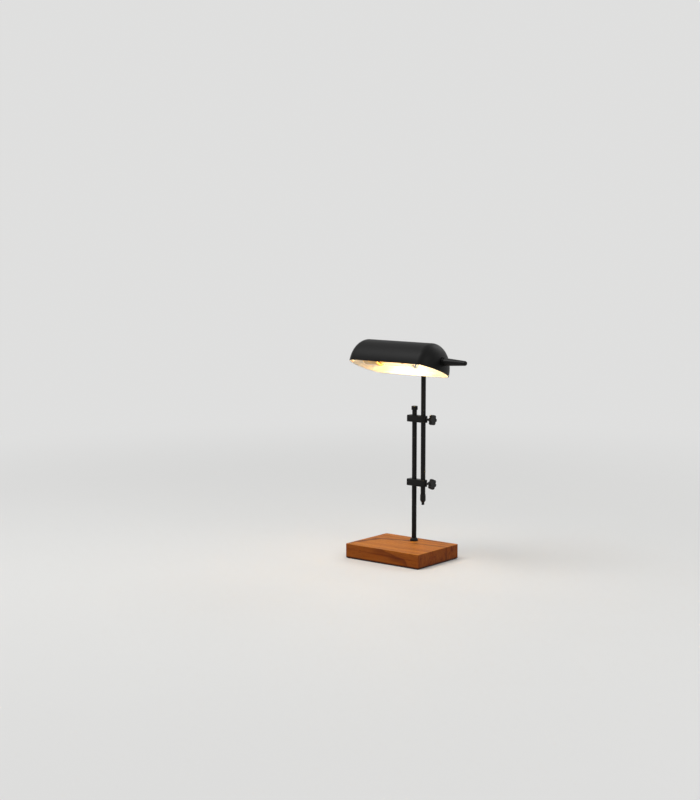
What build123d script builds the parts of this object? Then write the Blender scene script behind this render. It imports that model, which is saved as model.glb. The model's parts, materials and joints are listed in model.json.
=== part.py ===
from build123d import *
from math import cos, radians, sin, sqrt
import os

# Bankers lamp with a wooden base, a fixed post, a second post that slides in two
# clamp bars, and a tilting metal shade. Millimetres, +Z up, X along the base.
# The origin is the middle of the pad that the lamp stands on.

# Base
base_length = 186.0
base_depth = 139.0
base_thickness = 28.9
base_corner_radius = 1.2
base_edge_radius = 0.6
pad_thickness = 1.6
pad_inset = 1.5
pad_corner_radius = 1.0

# Pocket under the base with the ballast plate
pocket_length = 142.0
pocket_margin = 6.0
pocket_depth = 10.0
pocket_corner_radius = 8.0
plate_gap = 1.0
plate_thickness = 7.0
plate_hole_gap = 1.5
plate_screw_inset = 10.0
plate_screw_radius = 2.0
plate_screw_length = 18.0
plate_screw_head_radius = 4.0
plate_screw_head_height = 2.2
plate_screw_clearance = 0.2
plate_screw_hole_margin = 1.0

# Fixed post
post_radius = 5.0
post_x = 0.0
post_back_distance = 27.0
post_cap_gap = 11.0
stud_radius = 4.0
stud_end_margin = 1.5
stud_clearance = 0.2
washer_radius = 12.0
washer_thickness = 1.6
stud_nut_flats = 13.0
stud_nut_height = 6.5
thread_clearance = 0.05
collar_foot_radius = 8.6
collar_neck_radius = 6.4
collar_height = 6.0
collar_foot_height = 1.4
collar_sweep_radius = 9.6
collar_clearance = 0.1
cap_radius = 6.6
cap_height = 8.0
cap_roof = 3.0
cap_edge_radius = 1.3

# Clamp bars and their screws
bar_width = 14.0
bar_height = 14.0
bar_overhang = 14.5
bar_end_offset = 2.0
bar_edge_chamfer = 0.6
post_spacing = 22.5
lower_bar_height = 124.0
upper_bar_height = 258.0
fixed_post_clearance = 0.05
sliding_clearance = 0.08
grub_radius = 2.5
grub_length = 6.5
grub_socket_flats = 2.5
grub_socket_depth = 2.6
clamp_screw_radius = 2.5
clamp_screw_clearance = 0.06
clamp_screw_tip_gap = 0.3
clamp_screw_tip_chamfer = 0.6
clamp_screw_depth_in_knob = 6.0

# Knobs
knob_radius = 11.0
knob_thickness = 7.5
knob_lobes = 6
knob_scallop_radius = 3.6
knob_scallop_offset = 1.3
knob_edge_chamfer = 0.9
knob_hub_radius = 6.0
knob_hub_neck_radius = 4.2
knob_hub_length = 4.0
knob_stem_length = 6.5
upper_knob_turn = 22.0
lower_knob_turn = 8.0

# Sliding post
tube_wall = 1.5
end_cap_gap = 17.0
end_cap_radius = 5.8
end_cap_length = 12.0
end_cap_cone_length = 4.4
end_cap_grip = 10.0
end_cap_clearance = 0.05
nozzle_radius = 3.0
nozzle_length = 5.0
lead_hole_radius = 2.3

# Knuckle at the top of the sliding post
pivot_rise = 120.5
barrel_radius = 7.8
barrel_height = 15.0
barrel_drop = 15.6
barrel_grip = 7.6
barrel_roof = 2.4
barrel_chamfer = 0.8
swivel_clearance = 0.08
groove_width = 2.4
groove_depth = 0.7
groove_drop = 4.0
retainer_radius = 2.0
retainer_tip_radius = 0.9
retainer_tip_gap = 0.3
retainer_recess = 0.3
tongue_thickness = 6.0
tongue_neck_width = 10.0
knuckle_radius = 7.0
fork_gap = 0.2
cheek_thickness = 4.0
fork_slot_end = 12.8
fork_end = 16.8
pin_radius = 2.5
pin_clearance = 0.06
pin_head_radius = 4.6
pin_head_height = 3.2
pin_washer_radius = 5.6
pin_washer_thickness = 1.0
thumb_nut_radius = 8.0
thumb_nut_height = 7.0
thumb_nut_ribs = 16
thumb_nut_rib_radius = 0.9
thumb_nut_hub_radius = 5.2
thumb_nut_hub_height = 2.0
thumb_nut_clearance = 0.06
pin_end_margin = 1.5

# Arm from the knuckle to the shade
arm_reach = 84.6
arm_angle = 23.8
shank_radius = 5.5
arm_stud_radius = 4.0
arm_hole_clearance = 0.1
seat_washer_radius = 11.0
seat_washer_thickness = 2.4
inner_washer_radius = 10.0
inner_washer_thickness = 2.0
seat_washer_clearance = 0.02
arm_nut_flats = 13.0
arm_nut_height = 5.0
arm_stud_margin = 1.0

# Shade
shade_tilt = 19.6
shade_radius = 53.0
shade_straight = 156.0
shade_bulge = 29.0
shade_skirt = 3.0
shade_wall = 1.0
shade_hem = 1.8
shade_cut_depth = 16.0

# Grommet where the lead goes into the shade
grommet_offset = 30.0
grommet_hole_radius = 4.0
grommet_clearance = 0.05
grommet_flange_radius = 6.0
grommet_flange_thickness = 1.5

# Handle on the shade's right end
handle_height = 18.0
handle_length = 53.0
handle_root_radius = 8.0
handle_tip_radius = 4.9
handle_root_length = 2.0
handle_collar_radius = 9.6
handle_collar_thickness = 3.2
handle_screw_radius = 2.5
handle_screw_grip = 18.0
handle_screw_margin = 1.0
handle_screw_head_radius = 4.5
handle_screw_head_height = 2.8
handle_washer_radius = 8.0
handle_washer_thickness = 3.4

# Lamp holder at the shade's left end
holder_height = 21.5
holder_radius = 20.0
holder_length = 50.0
holder_back_radius = 9.6
holder_dome_length = 14.0
holder_dome_radius = 17.0
holder_step_length = 4.6
holder_wall = 2.6
holder_lip_height = 1.2
holder_lip_length = 5.0
nipple_radius = 5.0
nipple_bore_radius = 3.5
nipple_clearance = 0.05
nipple_grip = 7.0
holder_washer_radius = 9.0
holder_washer_thickness = 4.2
cap_nut_radius = 7.2
cap_nut_height = 9.0
cap_nut_roof = 2.5
cap_nut_edge_radius = 4.0
insulator_thickness = 6.0
insulator_clearance = 0.1
sleeve_radius = 14.4
sleeve_wall = 0.7
sleeve_length = 26.0
tongue_strip_width = 5.0
tongue_strip_thickness = 0.6
tongue_strip_length = 9.0

# Bulb
bulb_cap_radius = 13.3
bulb_cap_wall = 0.6
bulb_cap_length = 22.0
bulb_cap_floor_radius = 9.5
bulb_seat_length = 3.0
bulb_contact_radius = 4.4
bulb_contact_height = 1.4
bulb_base_height = 2.4
bulb_base_margin = 0.8
bulb_radius = 19.0
bulb_neck_radius = 12.4
bulb_neck_length = 6.0
bulb_shoulder_length = 12.0
bulb_length = 86.0
bulb_wall = 1.0
bulb_seal_gap = 0.05
bulb_stem_foot_length = 1.0
bulb_stem_radius = 3.0
bulb_stem_length = 30.0
filament_count = 4
filament_radius = 0.9
filament_length = 40.0
filament_circle_radius = 8.0
filament_start = 22.0
wire_radius = 0.4
mast_radius = 1.2

os.makedirs("parts", exist_ok=True)


def write_part(piece, node):
    piece.part.label = node
    export_step(piece.part, f"parts/{node}.step")


# Places worked out from the driving sizes
base_top = pad_thickness + base_thickness
pocket_top = pad_thickness + pocket_depth
post_y = base_depth / 2 - post_back_distance
slide_x = post_x + post_spacing
bar_end_x = slide_x + bar_end_offset + bar_width / 2
bar_start_x = post_x - bar_overhang
lower_bar_z = base_top + lower_bar_height
upper_bar_z = base_top + upper_bar_height
fixed_axis = Axis((post_x, post_y, 0), (0, 0, 1))
slide_axis = Axis((slide_x, post_y, 0), (0, 0, 1))
fixed_section = Plane(origin=(post_x, post_y, 0), x_dir=(1, 0, 0), z_dir=(0, -1, 0))
slide_section = Plane(origin=(slide_x, post_y, 0), x_dir=(1, 0, 0), z_dir=(0, -1, 0))


def level(x, y, z):
    return Plane(origin=(x, y, z))


# Wooden base block: a pocket below for the ballast, a bore for the post's stud
pocket_width = 2 * (post_y + washer_radius + pocket_margin)
plate_length = pocket_length - 2 * plate_gap
plate_width = pocket_width - 2 * plate_gap
plate_bottom = pocket_top - plate_thickness
plate_screw_span_x = plate_length - 2 * plate_screw_inset
plate_screw_span_y = plate_width - 2 * plate_screw_inset
with BuildPart() as base_block:
    with BuildSketch(Plane.XY.offset(pad_thickness)):
        RectangleRounded(base_length, base_depth, base_corner_radius)
    extrude(amount=base_thickness)
    fillet(base_block.faces().sort_by(Axis.Z)[-1].edges(), base_edge_radius)
    with BuildSketch(Plane.XY.offset(pad_thickness)):
        RectangleRounded(pocket_length, pocket_width, pocket_corner_radius)
    extrude(amount=pocket_depth, mode=Mode.SUBTRACT)
    with BuildSketch(level(post_x, post_y, pocket_top)):
        Circle(stud_radius + stud_clearance)
    extrude(amount=base_top - pocket_top, mode=Mode.SUBTRACT)
    with BuildSketch(Plane.XY.offset(pocket_top)):
        with GridLocations(plate_screw_span_x, plate_screw_span_y, 2, 2):
            Circle(plate_screw_radius + thread_clearance)
    extrude(amount=plate_screw_length - plate_thickness + plate_screw_hole_margin, mode=Mode.SUBTRACT)
write_part(base_block, "base_block")

# Pad glued under the block, a little inside its outline
with BuildPart() as base_pad:
    with BuildSketch():
        RectangleRounded(base_length - 2 * pad_inset, base_depth - 2 * pad_inset, pad_corner_radius)
    extrude(amount=pad_thickness)
write_part(base_pad, "base_pad")

# Steel ballast plate against the pocket's ceiling, cut out round the stud's washer
with BuildPart() as ballast_plate:
    with BuildSketch(Plane.XY.offset(plate_bottom)):
        RectangleRounded(plate_length, plate_width, pocket_corner_radius - plate_gap)
    extrude(amount=plate_thickness)
    with BuildSketch(level(post_x, post_y, plate_bottom)):
        Circle(washer_radius + plate_hole_gap)
    extrude(amount=plate_thickness, mode=Mode.SUBTRACT)
    with BuildSketch(Plane.XY.offset(plate_bottom)):
        with GridLocations(plate_screw_span_x, plate_screw_span_y, 2, 2):
            Circle(plate_screw_radius + plate_screw_clearance)
    extrude(amount=plate_thickness, mode=Mode.SUBTRACT)
write_part(ballast_plate, "ballast_plate")

# Four pan-head screws that hold the plate to the wood
with BuildPart() as ballast_screws:
    with BuildSketch(Plane.XY.offset(plate_bottom)):
        with GridLocations(plate_screw_span_x, plate_screw_span_y, 2, 2):
            Circle(plate_screw_head_radius)
    extrude(amount=-plate_screw_head_height)
    with BuildSketch(Plane.XY.offset(plate_bottom)):
        with GridLocations(plate_screw_span_x, plate_screw_span_y, 2, 2):
            Circle(plate_screw_radius)
    extrude(amount=plate_screw_length)
write_part(ballast_screws, "ballast_screws")

# Fixed post: the rod stands on its shoulder, its thin stud goes down through the base
washer_bottom = pocket_top - washer_thickness
nut_bottom = washer_bottom - stud_nut_height
stud_end = nut_bottom - stud_end_margin
cap_top = upper_bar_z + bar_height / 2 + post_cap_gap + cap_height
post_top = cap_top - cap_roof
with BuildPart() as stand_post:
    with BuildSketch(level(post_x, post_y, base_top)):
        Circle(post_radius)
    extrude(amount=post_top - base_top)
    with BuildSketch(level(post_x, post_y, stud_end)):
        Circle(stud_radius)
    extrude(amount=base_top - stud_end)
write_part(stand_post, "stand_post")

with BuildPart() as stud_washer:
    with BuildSketch(level(post_x, post_y, washer_bottom)):
        Circle(washer_radius)
        Circle(stud_radius + stud_clearance, mode=Mode.SUBTRACT)
    extrude(amount=washer_thickness)
write_part(stud_washer, "stud_washer")

with BuildPart() as stud_nut:
    with BuildSketch(level(post_x, post_y, nut_bottom)):
        RegularPolygon(stud_nut_flats / 2, 6, major_radius=False)
        Circle(stud_radius + thread_clearance, mode=Mode.SUBTRACT)
    extrude(amount=stud_nut_height)
write_part(stud_nut, "stud_nut")

# Flared collar where the rod meets the wood
with BuildPart() as post_collar:
    with BuildSketch(fixed_section):
        with BuildLine():
            foot_edge = Line((post_radius + collar_clearance, base_top), (collar_foot_radius, base_top))
            foot_side = Line(foot_edge @ 1, (collar_foot_radius, base_top + collar_foot_height))
            neck_end = (collar_neck_radius, base_top + collar_height)
            RadiusArc(foot_side @ 1, neck_end, -collar_sweep_radius)
            top_edge = Line(neck_end, (post_radius + collar_clearance, base_top + collar_height))
            Line(top_edge @ 1, foot_edge @ 0)
        make_face()
    revolve(axis=fixed_axis)
write_part(post_collar, "post_collar")

# Turned cap on the rod's top
with BuildPart() as post_cap:
    with BuildSketch(level(post_x, post_y, cap_top - cap_height)):
        Circle(cap_radius)
    extrude(amount=cap_height)
    fillet(post_cap.faces().sort_by(Axis.Z)[-1].edges(), cap_edge_radius)
    with BuildSketch(level(post_x, post_y, cap_top - cap_height)):
        Circle(post_radius + fixed_post_clearance)
    extrude(amount=cap_height - cap_roof, mode=Mode.SUBTRACT)
write_part(post_cap, "post_cap")


# One clamp bar: square at the fixed post's end, round at the sliding post's end
def clamp_bar(height):
    bottom = height - bar_height / 2
    end_centre_x = slide_x + bar_end_offset
    with BuildPart() as bar:
        with BuildSketch(level((bar_start_x + end_centre_x) / 2, post_y, bottom)):
            Rectangle(end_centre_x - bar_start_x, bar_width)
            with Locations(((end_centre_x - bar_start_x) / 2, 0)):
                Circle(bar_width / 2)
        extrude(amount=bar_height)
        chamfer(bar.faces().filter_by(Axis.Z).edges(), bar_edge_chamfer)
        with BuildSketch(level(post_x, post_y, bottom)):
            Circle(post_radius + fixed_post_clearance)
            with Locations((post_spacing, 0)):
                Circle(post_radius + sliding_clearance)
        extrude(amount=bar_height, mode=Mode.SUBTRACT)
        with BuildSketch(Plane(origin=(slide_x, post_y, height), z_dir=(1, 0, 0))):
            Circle(clamp_screw_radius + clamp_screw_clearance)
        extrude(amount=bar_end_x - slide_x, mode=Mode.SUBTRACT)
        with BuildSketch(Plane(origin=(post_x, post_y, height), z_dir=(-1, 0, 0))):
            Circle(grub_radius + thread_clearance)
        extrude(amount=bar_overhang, mode=Mode.SUBTRACT)
    return bar


# Socket-head grub screw that locks a bar to the fixed post
def grub_screw(height):
    tip_x = post_x - post_radius
    with BuildPart() as grub:
        with BuildSketch(Plane(origin=(tip_x, post_y, height), z_dir=(-1, 0, 0))):
            Circle(grub_radius)
        extrude(amount=grub_length)
        with BuildSketch(Plane(origin=(tip_x - grub_length, post_y, height), z_dir=(1, 0, 0))):
            RegularPolygon(grub_socket_flats / 2, 6, major_radius=False)
        extrude(amount=grub_socket_depth, mode=Mode.SUBTRACT)
    return grub


# Screw of a clamp knob: its tip stops just short of the sliding post
knob_face_x = bar_end_x + knob_stem_length + knob_hub_length
clamp_tip_x = slide_x + post_radius + clamp_screw_tip_gap
clamp_screw_end_x = knob_face_x - knob_hub_length + clamp_screw_depth_in_knob


def clamp_screw(height):
    with BuildPart() as screw:
        with BuildSketch(Plane(origin=(clamp_tip_x, post_y, height), z_dir=(1, 0, 0))):
            Circle(clamp_screw_radius)
        extrude(amount=clamp_screw_end_x - clamp_tip_x)
        chamfer(screw.faces().sort_by(Axis.X)[0].edges(), clamp_screw_tip_chamfer)
    return screw


# Lobed knob moulded on the screw, with a tapered hub towards the bar
def clamp_knob(height, turn):
    face = Plane(origin=(knob_face_x, post_y, height), x_dir=(0, 1, 0), z_dir=(1, 0, 0))
    with BuildPart() as knob:
        with BuildSketch(face):
            Circle(knob_radius)
            with PolarLocations(knob_radius + knob_scallop_offset, knob_lobes, start_angle=turn):
                Circle(knob_scallop_radius, mode=Mode.SUBTRACT)
        extrude(amount=knob_thickness)
        chamfer(knob.faces().sort_by(Axis.X)[-1].edges(), knob_edge_chamfer)
        with BuildSketch(face):
            Circle(knob_hub_radius)
        with BuildSketch(face.offset(-knob_hub_length)):
            Circle(knob_hub_neck_radius)
        loft()
        with BuildSketch(face.offset(-knob_hub_length)):
            Circle(clamp_screw_radius + thread_clearance)
        extrude(amount=clamp_screw_depth_in_knob, mode=Mode.SUBTRACT)
    return knob


for side, bar_z, knob_turn in (
    ("lower", lower_bar_z, lower_knob_turn),
    ("upper", upper_bar_z, upper_knob_turn),
):
    write_part(clamp_bar(bar_z), f"{side}_clamp_bar")
    write_part(grub_screw(bar_z), f"{side}_grub_screw")
    write_part(clamp_screw(bar_z), f"{side}_clamp_screw")
    write_part(clamp_knob(bar_z, knob_turn), f"{side}_clamp_knob")

# Sliding post: a tube with a groove near its top for the knuckle's retaining screw
pivot_z = upper_bar_z + pivot_rise
barrel_top = pivot_z - barrel_drop
barrel_bottom = barrel_top - barrel_height
tube_top = barrel_bottom + barrel_grip
end_cap_top = lower_bar_z - bar_height / 2 - end_cap_gap
tube_bottom = end_cap_top - end_cap_grip
with BuildPart() as sliding_post:
    with BuildSketch(level(slide_x, post_y, tube_bottom)):
        Circle(post_radius)
        Circle(post_radius - tube_wall, mode=Mode.SUBTRACT)
    extrude(amount=tube_top - tube_bottom)
    with BuildSketch(level(slide_x, post_y, tube_top - groove_drop - groove_width / 2)):
        Circle(post_radius)
        Circle(post_radius - groove_depth, mode=Mode.SUBTRACT)
    extrude(amount=groove_width, mode=Mode.SUBTRACT)
write_part(sliding_post, "sliding_post")

# End cap of the tube, tapering to the nozzle that the lead leaves by
cone_top = end_cap_top - end_cap_length
cone_bottom = cone_top - end_cap_cone_length
nozzle_end = cone_bottom - nozzle_length
with BuildPart() as cord_end_cap:
    with BuildSketch(slide_section):
        with BuildLine():
            Polyline(
                (0, end_cap_top),
                (end_cap_radius, end_cap_top),
                (end_cap_radius, cone_top),
                (nozzle_radius, cone_bottom),
                (nozzle_radius, nozzle_end),
                (0, nozzle_end),
                close=True,
            )
        make_face()
    revolve(axis=slide_axis)
    with BuildSketch(level(slide_x, post_y, tube_bottom)):
        Circle(post_radius + end_cap_clearance)
    extrude(amount=end_cap_grip, mode=Mode.SUBTRACT)
    with BuildSketch(level(slide_x, post_y, nozzle_end)):
        Circle(lead_hole_radius)
    extrude(amount=tube_bottom - nozzle_end, mode=Mode.SUBTRACT)
write_part(cord_end_cap, "cord_end_cap")

# Knuckle base: a barrel that turns on the tube's top, with a hole behind for the lead
# and a flat tongue above it
pivot = Vector(slide_x, post_y, pivot_z)
side_view = Plane(origin=pivot, x_dir=(0, -1, 0), z_dir=(-1, 0, 0))
retainer_z = tube_top - groove_drop
lead_hole_z = (tube_top + barrel_top - barrel_roof) / 2
with BuildPart() as knuckle_base:
    with BuildSketch(level(slide_x, post_y, barrel_bottom)):
        Circle(barrel_radius)
    extrude(amount=barrel_height)
    chamfer(knuckle_base.faces().filter_by(Axis.Z).edges(), barrel_chamfer)
    with BuildSketch(side_view):
        Circle(knuckle_radius)
        with Locations((0, -barrel_drop / 2)):
            Rectangle(tongue_neck_width, barrel_drop)
    extrude(amount=tongue_thickness / 2, both=True)
    with BuildSketch(level(slide_x, post_y, barrel_bottom)):
        Circle(post_radius + swivel_clearance)
    extrude(amount=barrel_height - barrel_roof, mode=Mode.SUBTRACT)
    with BuildSketch(side_view):
        Circle(pin_radius + pin_clearance)
    extrude(amount=tongue_thickness, both=True, mode=Mode.SUBTRACT)
    with BuildSketch(Plane(origin=(slide_x, post_y, retainer_z), z_dir=(0, 1, 0))):
        Circle(retainer_radius + thread_clearance)
    extrude(amount=barrel_radius, mode=Mode.SUBTRACT)
    with BuildSketch(Plane(origin=(slide_x, post_y, lead_hole_z), z_dir=(0, 1, 0))):
        Circle(lead_hole_radius)
    extrude(amount=barrel_radius, mode=Mode.SUBTRACT)
write_part(knuckle_base, "knuckle_base")

# Retaining screw: its small tip runs in the tube's groove
retainer_start = post_radius + swivel_clearance
retainer_end = barrel_radius - retainer_recess
retainer_tip = post_radius - groove_depth + retainer_tip_gap
with BuildPart() as swivel_retainer:
    with BuildSketch(Plane(origin=(slide_x, post_y + retainer_start, retainer_z), z_dir=(0, 1, 0))):
        Circle(retainer_radius)
    extrude(amount=retainer_end - retainer_start)
    with BuildSketch(Plane(origin=(slide_x, post_y + retainer_tip, retainer_z), z_dir=(0, 1, 0))):
        Circle(retainer_tip_radius)
    extrude(amount=retainer_start - retainer_tip)
write_part(swivel_retainer, "swivel_retainer")

# Directions of the shade and of the arm that carries it
arm_slope = radians(arm_angle - shade_tilt)
arm_dir = Vector(0, -cos(arm_slope), -sin(arm_slope))
arch_centre = pivot + arm_dir * arm_reach
shade_up = Vector(0, sin(radians(shade_tilt)), cos(radians(shade_tilt)))
shade_back = Vector(0, cos(radians(shade_tilt)), -sin(radians(shade_tilt)))
shade_frame = Plane(origin=arch_centre, x_dir=(1, 0, 0), z_dir=shade_up)
arm_side = Plane(origin=pivot, x_dir=arm_dir, z_dir=(-1, 0, 0))
shell_distance = arm_reach - shade_radius


def along_arm(distance):
    return Plane(origin=pivot + arm_dir * distance, x_dir=(1, 0, 0), z_dir=arm_dir)


def at_grommet(distance):
    return along_arm(distance).move(Location((-grommet_offset, 0, 0)))


def in_shade(x, y, z):
    return arch_centre + Vector(1, 0, 0) * x + shade_back * y + shade_up * z


# The handle is turned about one line along the shade, the lamp holder and the bulb about another
handle_section = Plane(origin=in_shade(0, 0, handle_height), x_dir=(1, 0, 0), z_dir=-shade_back)
handle_axis = Axis(in_shade(0, 0, handle_height), (1, 0, 0))
holder_section = Plane(origin=in_shade(0, 0, holder_height), x_dir=(1, 0, 0), z_dir=-shade_back)
holder_axis = Axis(in_shade(0, 0, holder_height), (1, 0, 0))


def across_handle(x):
    return Plane(origin=in_shade(x, 0, handle_height), x_dir=shade_back, z_dir=(1, 0, 0))


def across_holder(x):
    return Plane(origin=in_shade(x, 0, holder_height), x_dir=shade_back, z_dir=(1, 0, 0))


def wall_at(height):
    return shade_straight / 2 + shade_bulge * sqrt(1 - (height / shade_radius) ** 2)


# The shade's dome as a solid: a rounded outline turned half a turn about its length
def dome_outline(inset):
    half = shade_straight / 2
    with BuildLine() as outline:
        EllipticalCenterArc((half, 0), shade_bulge - inset, shade_radius - inset, arc_size=90)
        Line((half, shade_radius - inset), (-half, shade_radius - inset))
        EllipticalCenterArc(
            (-half, 0), shade_bulge - inset, shade_radius - inset, start_angle=90, arc_size=90
        )
    return outline.line


def rim_outline(inset):
    outline = dome_outline(inset)
    with BuildSketch() as rim:
        with BuildLine():
            add(outline)
            mirror(about=Plane.XZ)
        make_face()
    return rim.sketch


def dome_solid(inset):
    end = shade_straight / 2 + shade_bulge - inset
    outline = dome_outline(inset)
    with BuildPart() as dome:
        with BuildSketch(shade_frame):
            with BuildLine():
                add(outline)
                Line((-end, 0), (end, 0))
            make_face()
        revolve(axis=Axis(arch_centre, (1, 0, 0)), revolution_arc=180)
    return dome.part


dome_outside = dome_solid(0)
dome_inside = dome_solid(shade_wall)
dome_wall = dome_outside - dome_inside
rim_outside = rim_outline(0)
rim_inside = rim_outline(shade_hem)
handle_wall_x = wall_at(handle_height)
holder_wall_x = wall_at(holder_height)

# Pressed shade: a thin dome over a short skirt, whose sheet is folded in as a hem
with BuildPart() as shade_shell:
    add(dome_outside)
    add(dome_inside, mode=Mode.SUBTRACT)
    with BuildSketch(shade_frame):
        add(rim_outside)
        add(rim_inside, mode=Mode.SUBTRACT)
    extrude(amount=-shade_skirt)
    with BuildSketch(along_arm(shell_distance)):
        Circle(arm_stud_radius + arm_hole_clearance)
    extrude(amount=shade_cut_depth / 2, both=True, mode=Mode.SUBTRACT)
    with BuildSketch(at_grommet(shell_distance)):
        Circle(grommet_hole_radius)
    extrude(amount=shade_cut_depth / 2, both=True, mode=Mode.SUBTRACT)
    with BuildSketch(across_handle(handle_wall_x)):
        Circle(handle_screw_radius + arm_hole_clearance)
    extrude(amount=shade_cut_depth / 2, both=True, mode=Mode.SUBTRACT)
    with BuildSketch(across_holder(-holder_wall_x)):
        Circle(nipple_radius + arm_hole_clearance)
    extrude(amount=shade_cut_depth / 2, both=True, mode=Mode.SUBTRACT)
write_part(shade_shell, "shade_shell")

# Rubber grommet in the shade's back: two flanges, one each side of the wall
grommet_start = shell_distance - grommet_flange_thickness
grommet_length = 2 * grommet_flange_thickness + shade_wall
with BuildPart() as lead_grommet:
    with BuildSketch(at_grommet(grommet_start)):
        Circle(grommet_flange_radius)
    extrude(amount=grommet_length)
    add(dome_wall, mode=Mode.SUBTRACT)
    with BuildSketch(at_grommet(grommet_start)):
        Circle(grommet_hole_radius - grommet_clearance)
    extrude(amount=grommet_length)
    with BuildSketch(at_grommet(grommet_start)):
        Circle(lead_hole_radius)
    extrude(amount=grommet_length, mode=Mode.SUBTRACT)
write_part(lead_grommet, "lead_grommet")

# Knuckle arm: a fork round the tongue, a round shank and a stud into the shade
fork_half_width = tongue_thickness / 2 + fork_gap + cheek_thickness
shank_end = shell_distance - seat_washer_thickness
inner_seat = shell_distance + shade_wall + inner_washer_thickness
arm_stud_end = inner_seat + arm_nut_height + arm_stud_margin
with BuildPart() as knuckle_arm:
    with BuildSketch(arm_side):
        Circle(knuckle_radius)
        with Locations((fork_end / 2, 0)):
            Rectangle(fork_end, 2 * knuckle_radius)
    extrude(amount=fork_half_width, both=True)
    with BuildSketch(arm_side):
        with Locations(((fork_slot_end - knuckle_radius) / 2, 0)):
            Rectangle(fork_slot_end + knuckle_radius, 2 * knuckle_radius)
    extrude(amount=tongue_thickness / 2 + fork_gap, both=True, mode=Mode.SUBTRACT)
    with BuildSketch(arm_side):
        Circle(pin_radius + thread_clearance)
    extrude(amount=fork_half_width, both=True, mode=Mode.SUBTRACT)
    with BuildSketch(along_arm(fork_end)):
        Circle(shank_radius)
    extrude(amount=shank_end - fork_end)
    with BuildSketch(along_arm(shank_end)):
        Circle(arm_stud_radius)
    extrude(amount=arm_stud_end - shank_end)
write_part(knuckle_arm, "knuckle_arm")

# Washers shaped to the shade's curve, outside and inside its wall, and the nut
with BuildPart() as arm_seat_washer:
    with BuildSketch(along_arm(shank_end)):
        Circle(seat_washer_radius)
        Circle(arm_stud_radius + arm_hole_clearance, mode=Mode.SUBTRACT)
    extrude(amount=2 * seat_washer_thickness)
    add(dome_solid(-seat_washer_clearance), mode=Mode.SUBTRACT)
write_part(arm_seat_washer, "arm_seat_washer")

with BuildPart() as arm_inner_washer:
    with BuildSketch(along_arm(inner_seat)):
        Circle(inner_washer_radius)
        Circle(arm_stud_radius + arm_hole_clearance, mode=Mode.SUBTRACT)
    extrude(amount=-2 * inner_washer_thickness)
    add(dome_inside, mode=Mode.INTERSECT)
write_part(arm_inner_washer, "arm_inner_washer")

with BuildPart() as arm_nut:
    with BuildSketch(along_arm(inner_seat)):
        RegularPolygon(arm_nut_flats / 2, 6, major_radius=False)
        Circle(arm_stud_radius + thread_clearance, mode=Mode.SUBTRACT)
    extrude(amount=arm_nut_height)
write_part(arm_nut, "arm_nut")

# Knuckle pin with its two washers, and the ribbed thumb nut that sets the friction
left_washer_x = -fork_half_width - pin_washer_thickness
right_washer_x = fork_half_width + pin_washer_thickness
thumb_nut_end = right_washer_x + thumb_nut_hub_height + thumb_nut_height


def across_knuckle(offset):
    return Plane(origin=pivot + Vector(offset, 0, 0), x_dir=(0, 1, 0), z_dir=(1, 0, 0))


with BuildPart() as knuckle_pin:
    with BuildSketch(across_knuckle(left_washer_x)):
        Circle(pin_head_radius)
    extrude(amount=-pin_head_height)
    fillet(knuckle_pin.faces().sort_by(Axis.X)[0].edges(), pin_head_height / 3)
    with BuildSketch(across_knuckle(left_washer_x)):
        Circle(pin_radius)
    extrude(amount=thumb_nut_end - pin_end_margin - left_washer_x)
write_part(knuckle_pin, "knuckle_pin")

with BuildPart() as knuckle_washers:
    with BuildSketch(across_knuckle(left_washer_x)):
        Circle(pin_washer_radius)
        Circle(pin_radius + thread_clearance, mode=Mode.SUBTRACT)
    extrude(amount=pin_washer_thickness)
    with BuildSketch(across_knuckle(fork_half_width)):
        Circle(pin_washer_radius)
        Circle(pin_radius + thread_clearance, mode=Mode.SUBTRACT)
    extrude(amount=pin_washer_thickness)
write_part(knuckle_washers, "knuckle_washers")

with BuildPart() as knuckle_thumb_nut:
    with BuildSketch(across_knuckle(right_washer_x)):
        Circle(thumb_nut_hub_radius)
    extrude(amount=thumb_nut_hub_height)
    with BuildSketch(across_knuckle(right_washer_x + thumb_nut_hub_height)):
        Circle(thumb_nut_radius)
        with PolarLocations(thumb_nut_radius + thumb_nut_rib_radius / 3, thumb_nut_ribs):
            Circle(thumb_nut_rib_radius, mode=Mode.SUBTRACT)
    extrude(amount=thumb_nut_height)
    with BuildSketch(across_knuckle(right_washer_x)):
        Circle(pin_radius + thumb_nut_clearance)
    extrude(amount=thumb_nut_hub_height + thumb_nut_height, mode=Mode.SUBTRACT)
write_part(knuckle_thumb_nut, "knuckle_thumb_nut")


# Collar and handle on the right end, screwed on from inside
collar_face_x = handle_wall_x + handle_collar_thickness
handle_screw_seat_x = handle_wall_x - shade_wall - handle_washer_thickness
with BuildPart() as handle_collar:
    with BuildSketch(across_handle(collar_face_x)):
        Circle(handle_collar_radius)
        Circle(handle_screw_radius + arm_hole_clearance, mode=Mode.SUBTRACT)
    extrude(amount=-4 * handle_collar_thickness)
    add(dome_outside, mode=Mode.SUBTRACT)
write_part(handle_collar, "handle_collar")

with BuildPart() as shade_handle:
    with BuildSketch(handle_section):
        with BuildLine():
            root = Line((collar_face_x, 0), (collar_face_x, handle_root_radius))
            tip_x = collar_face_x + handle_length
            round_x = tip_x - handle_tip_radius
            shoulder = Line(root @ 1, (collar_face_x + handle_root_length, handle_root_radius))
            Line(shoulder @ 1, (round_x, handle_tip_radius))
            EllipticalCenterArc((round_x, 0), handle_tip_radius, handle_tip_radius, arc_size=90)
            Line((tip_x, 0), root @ 0)
        make_face()
    revolve(axis=handle_axis)
    with BuildSketch(across_handle(collar_face_x)):
        Circle(handle_screw_radius + thread_clearance)
    extrude(amount=handle_screw_grip, mode=Mode.SUBTRACT)
write_part(shade_handle, "shade_handle")

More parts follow.
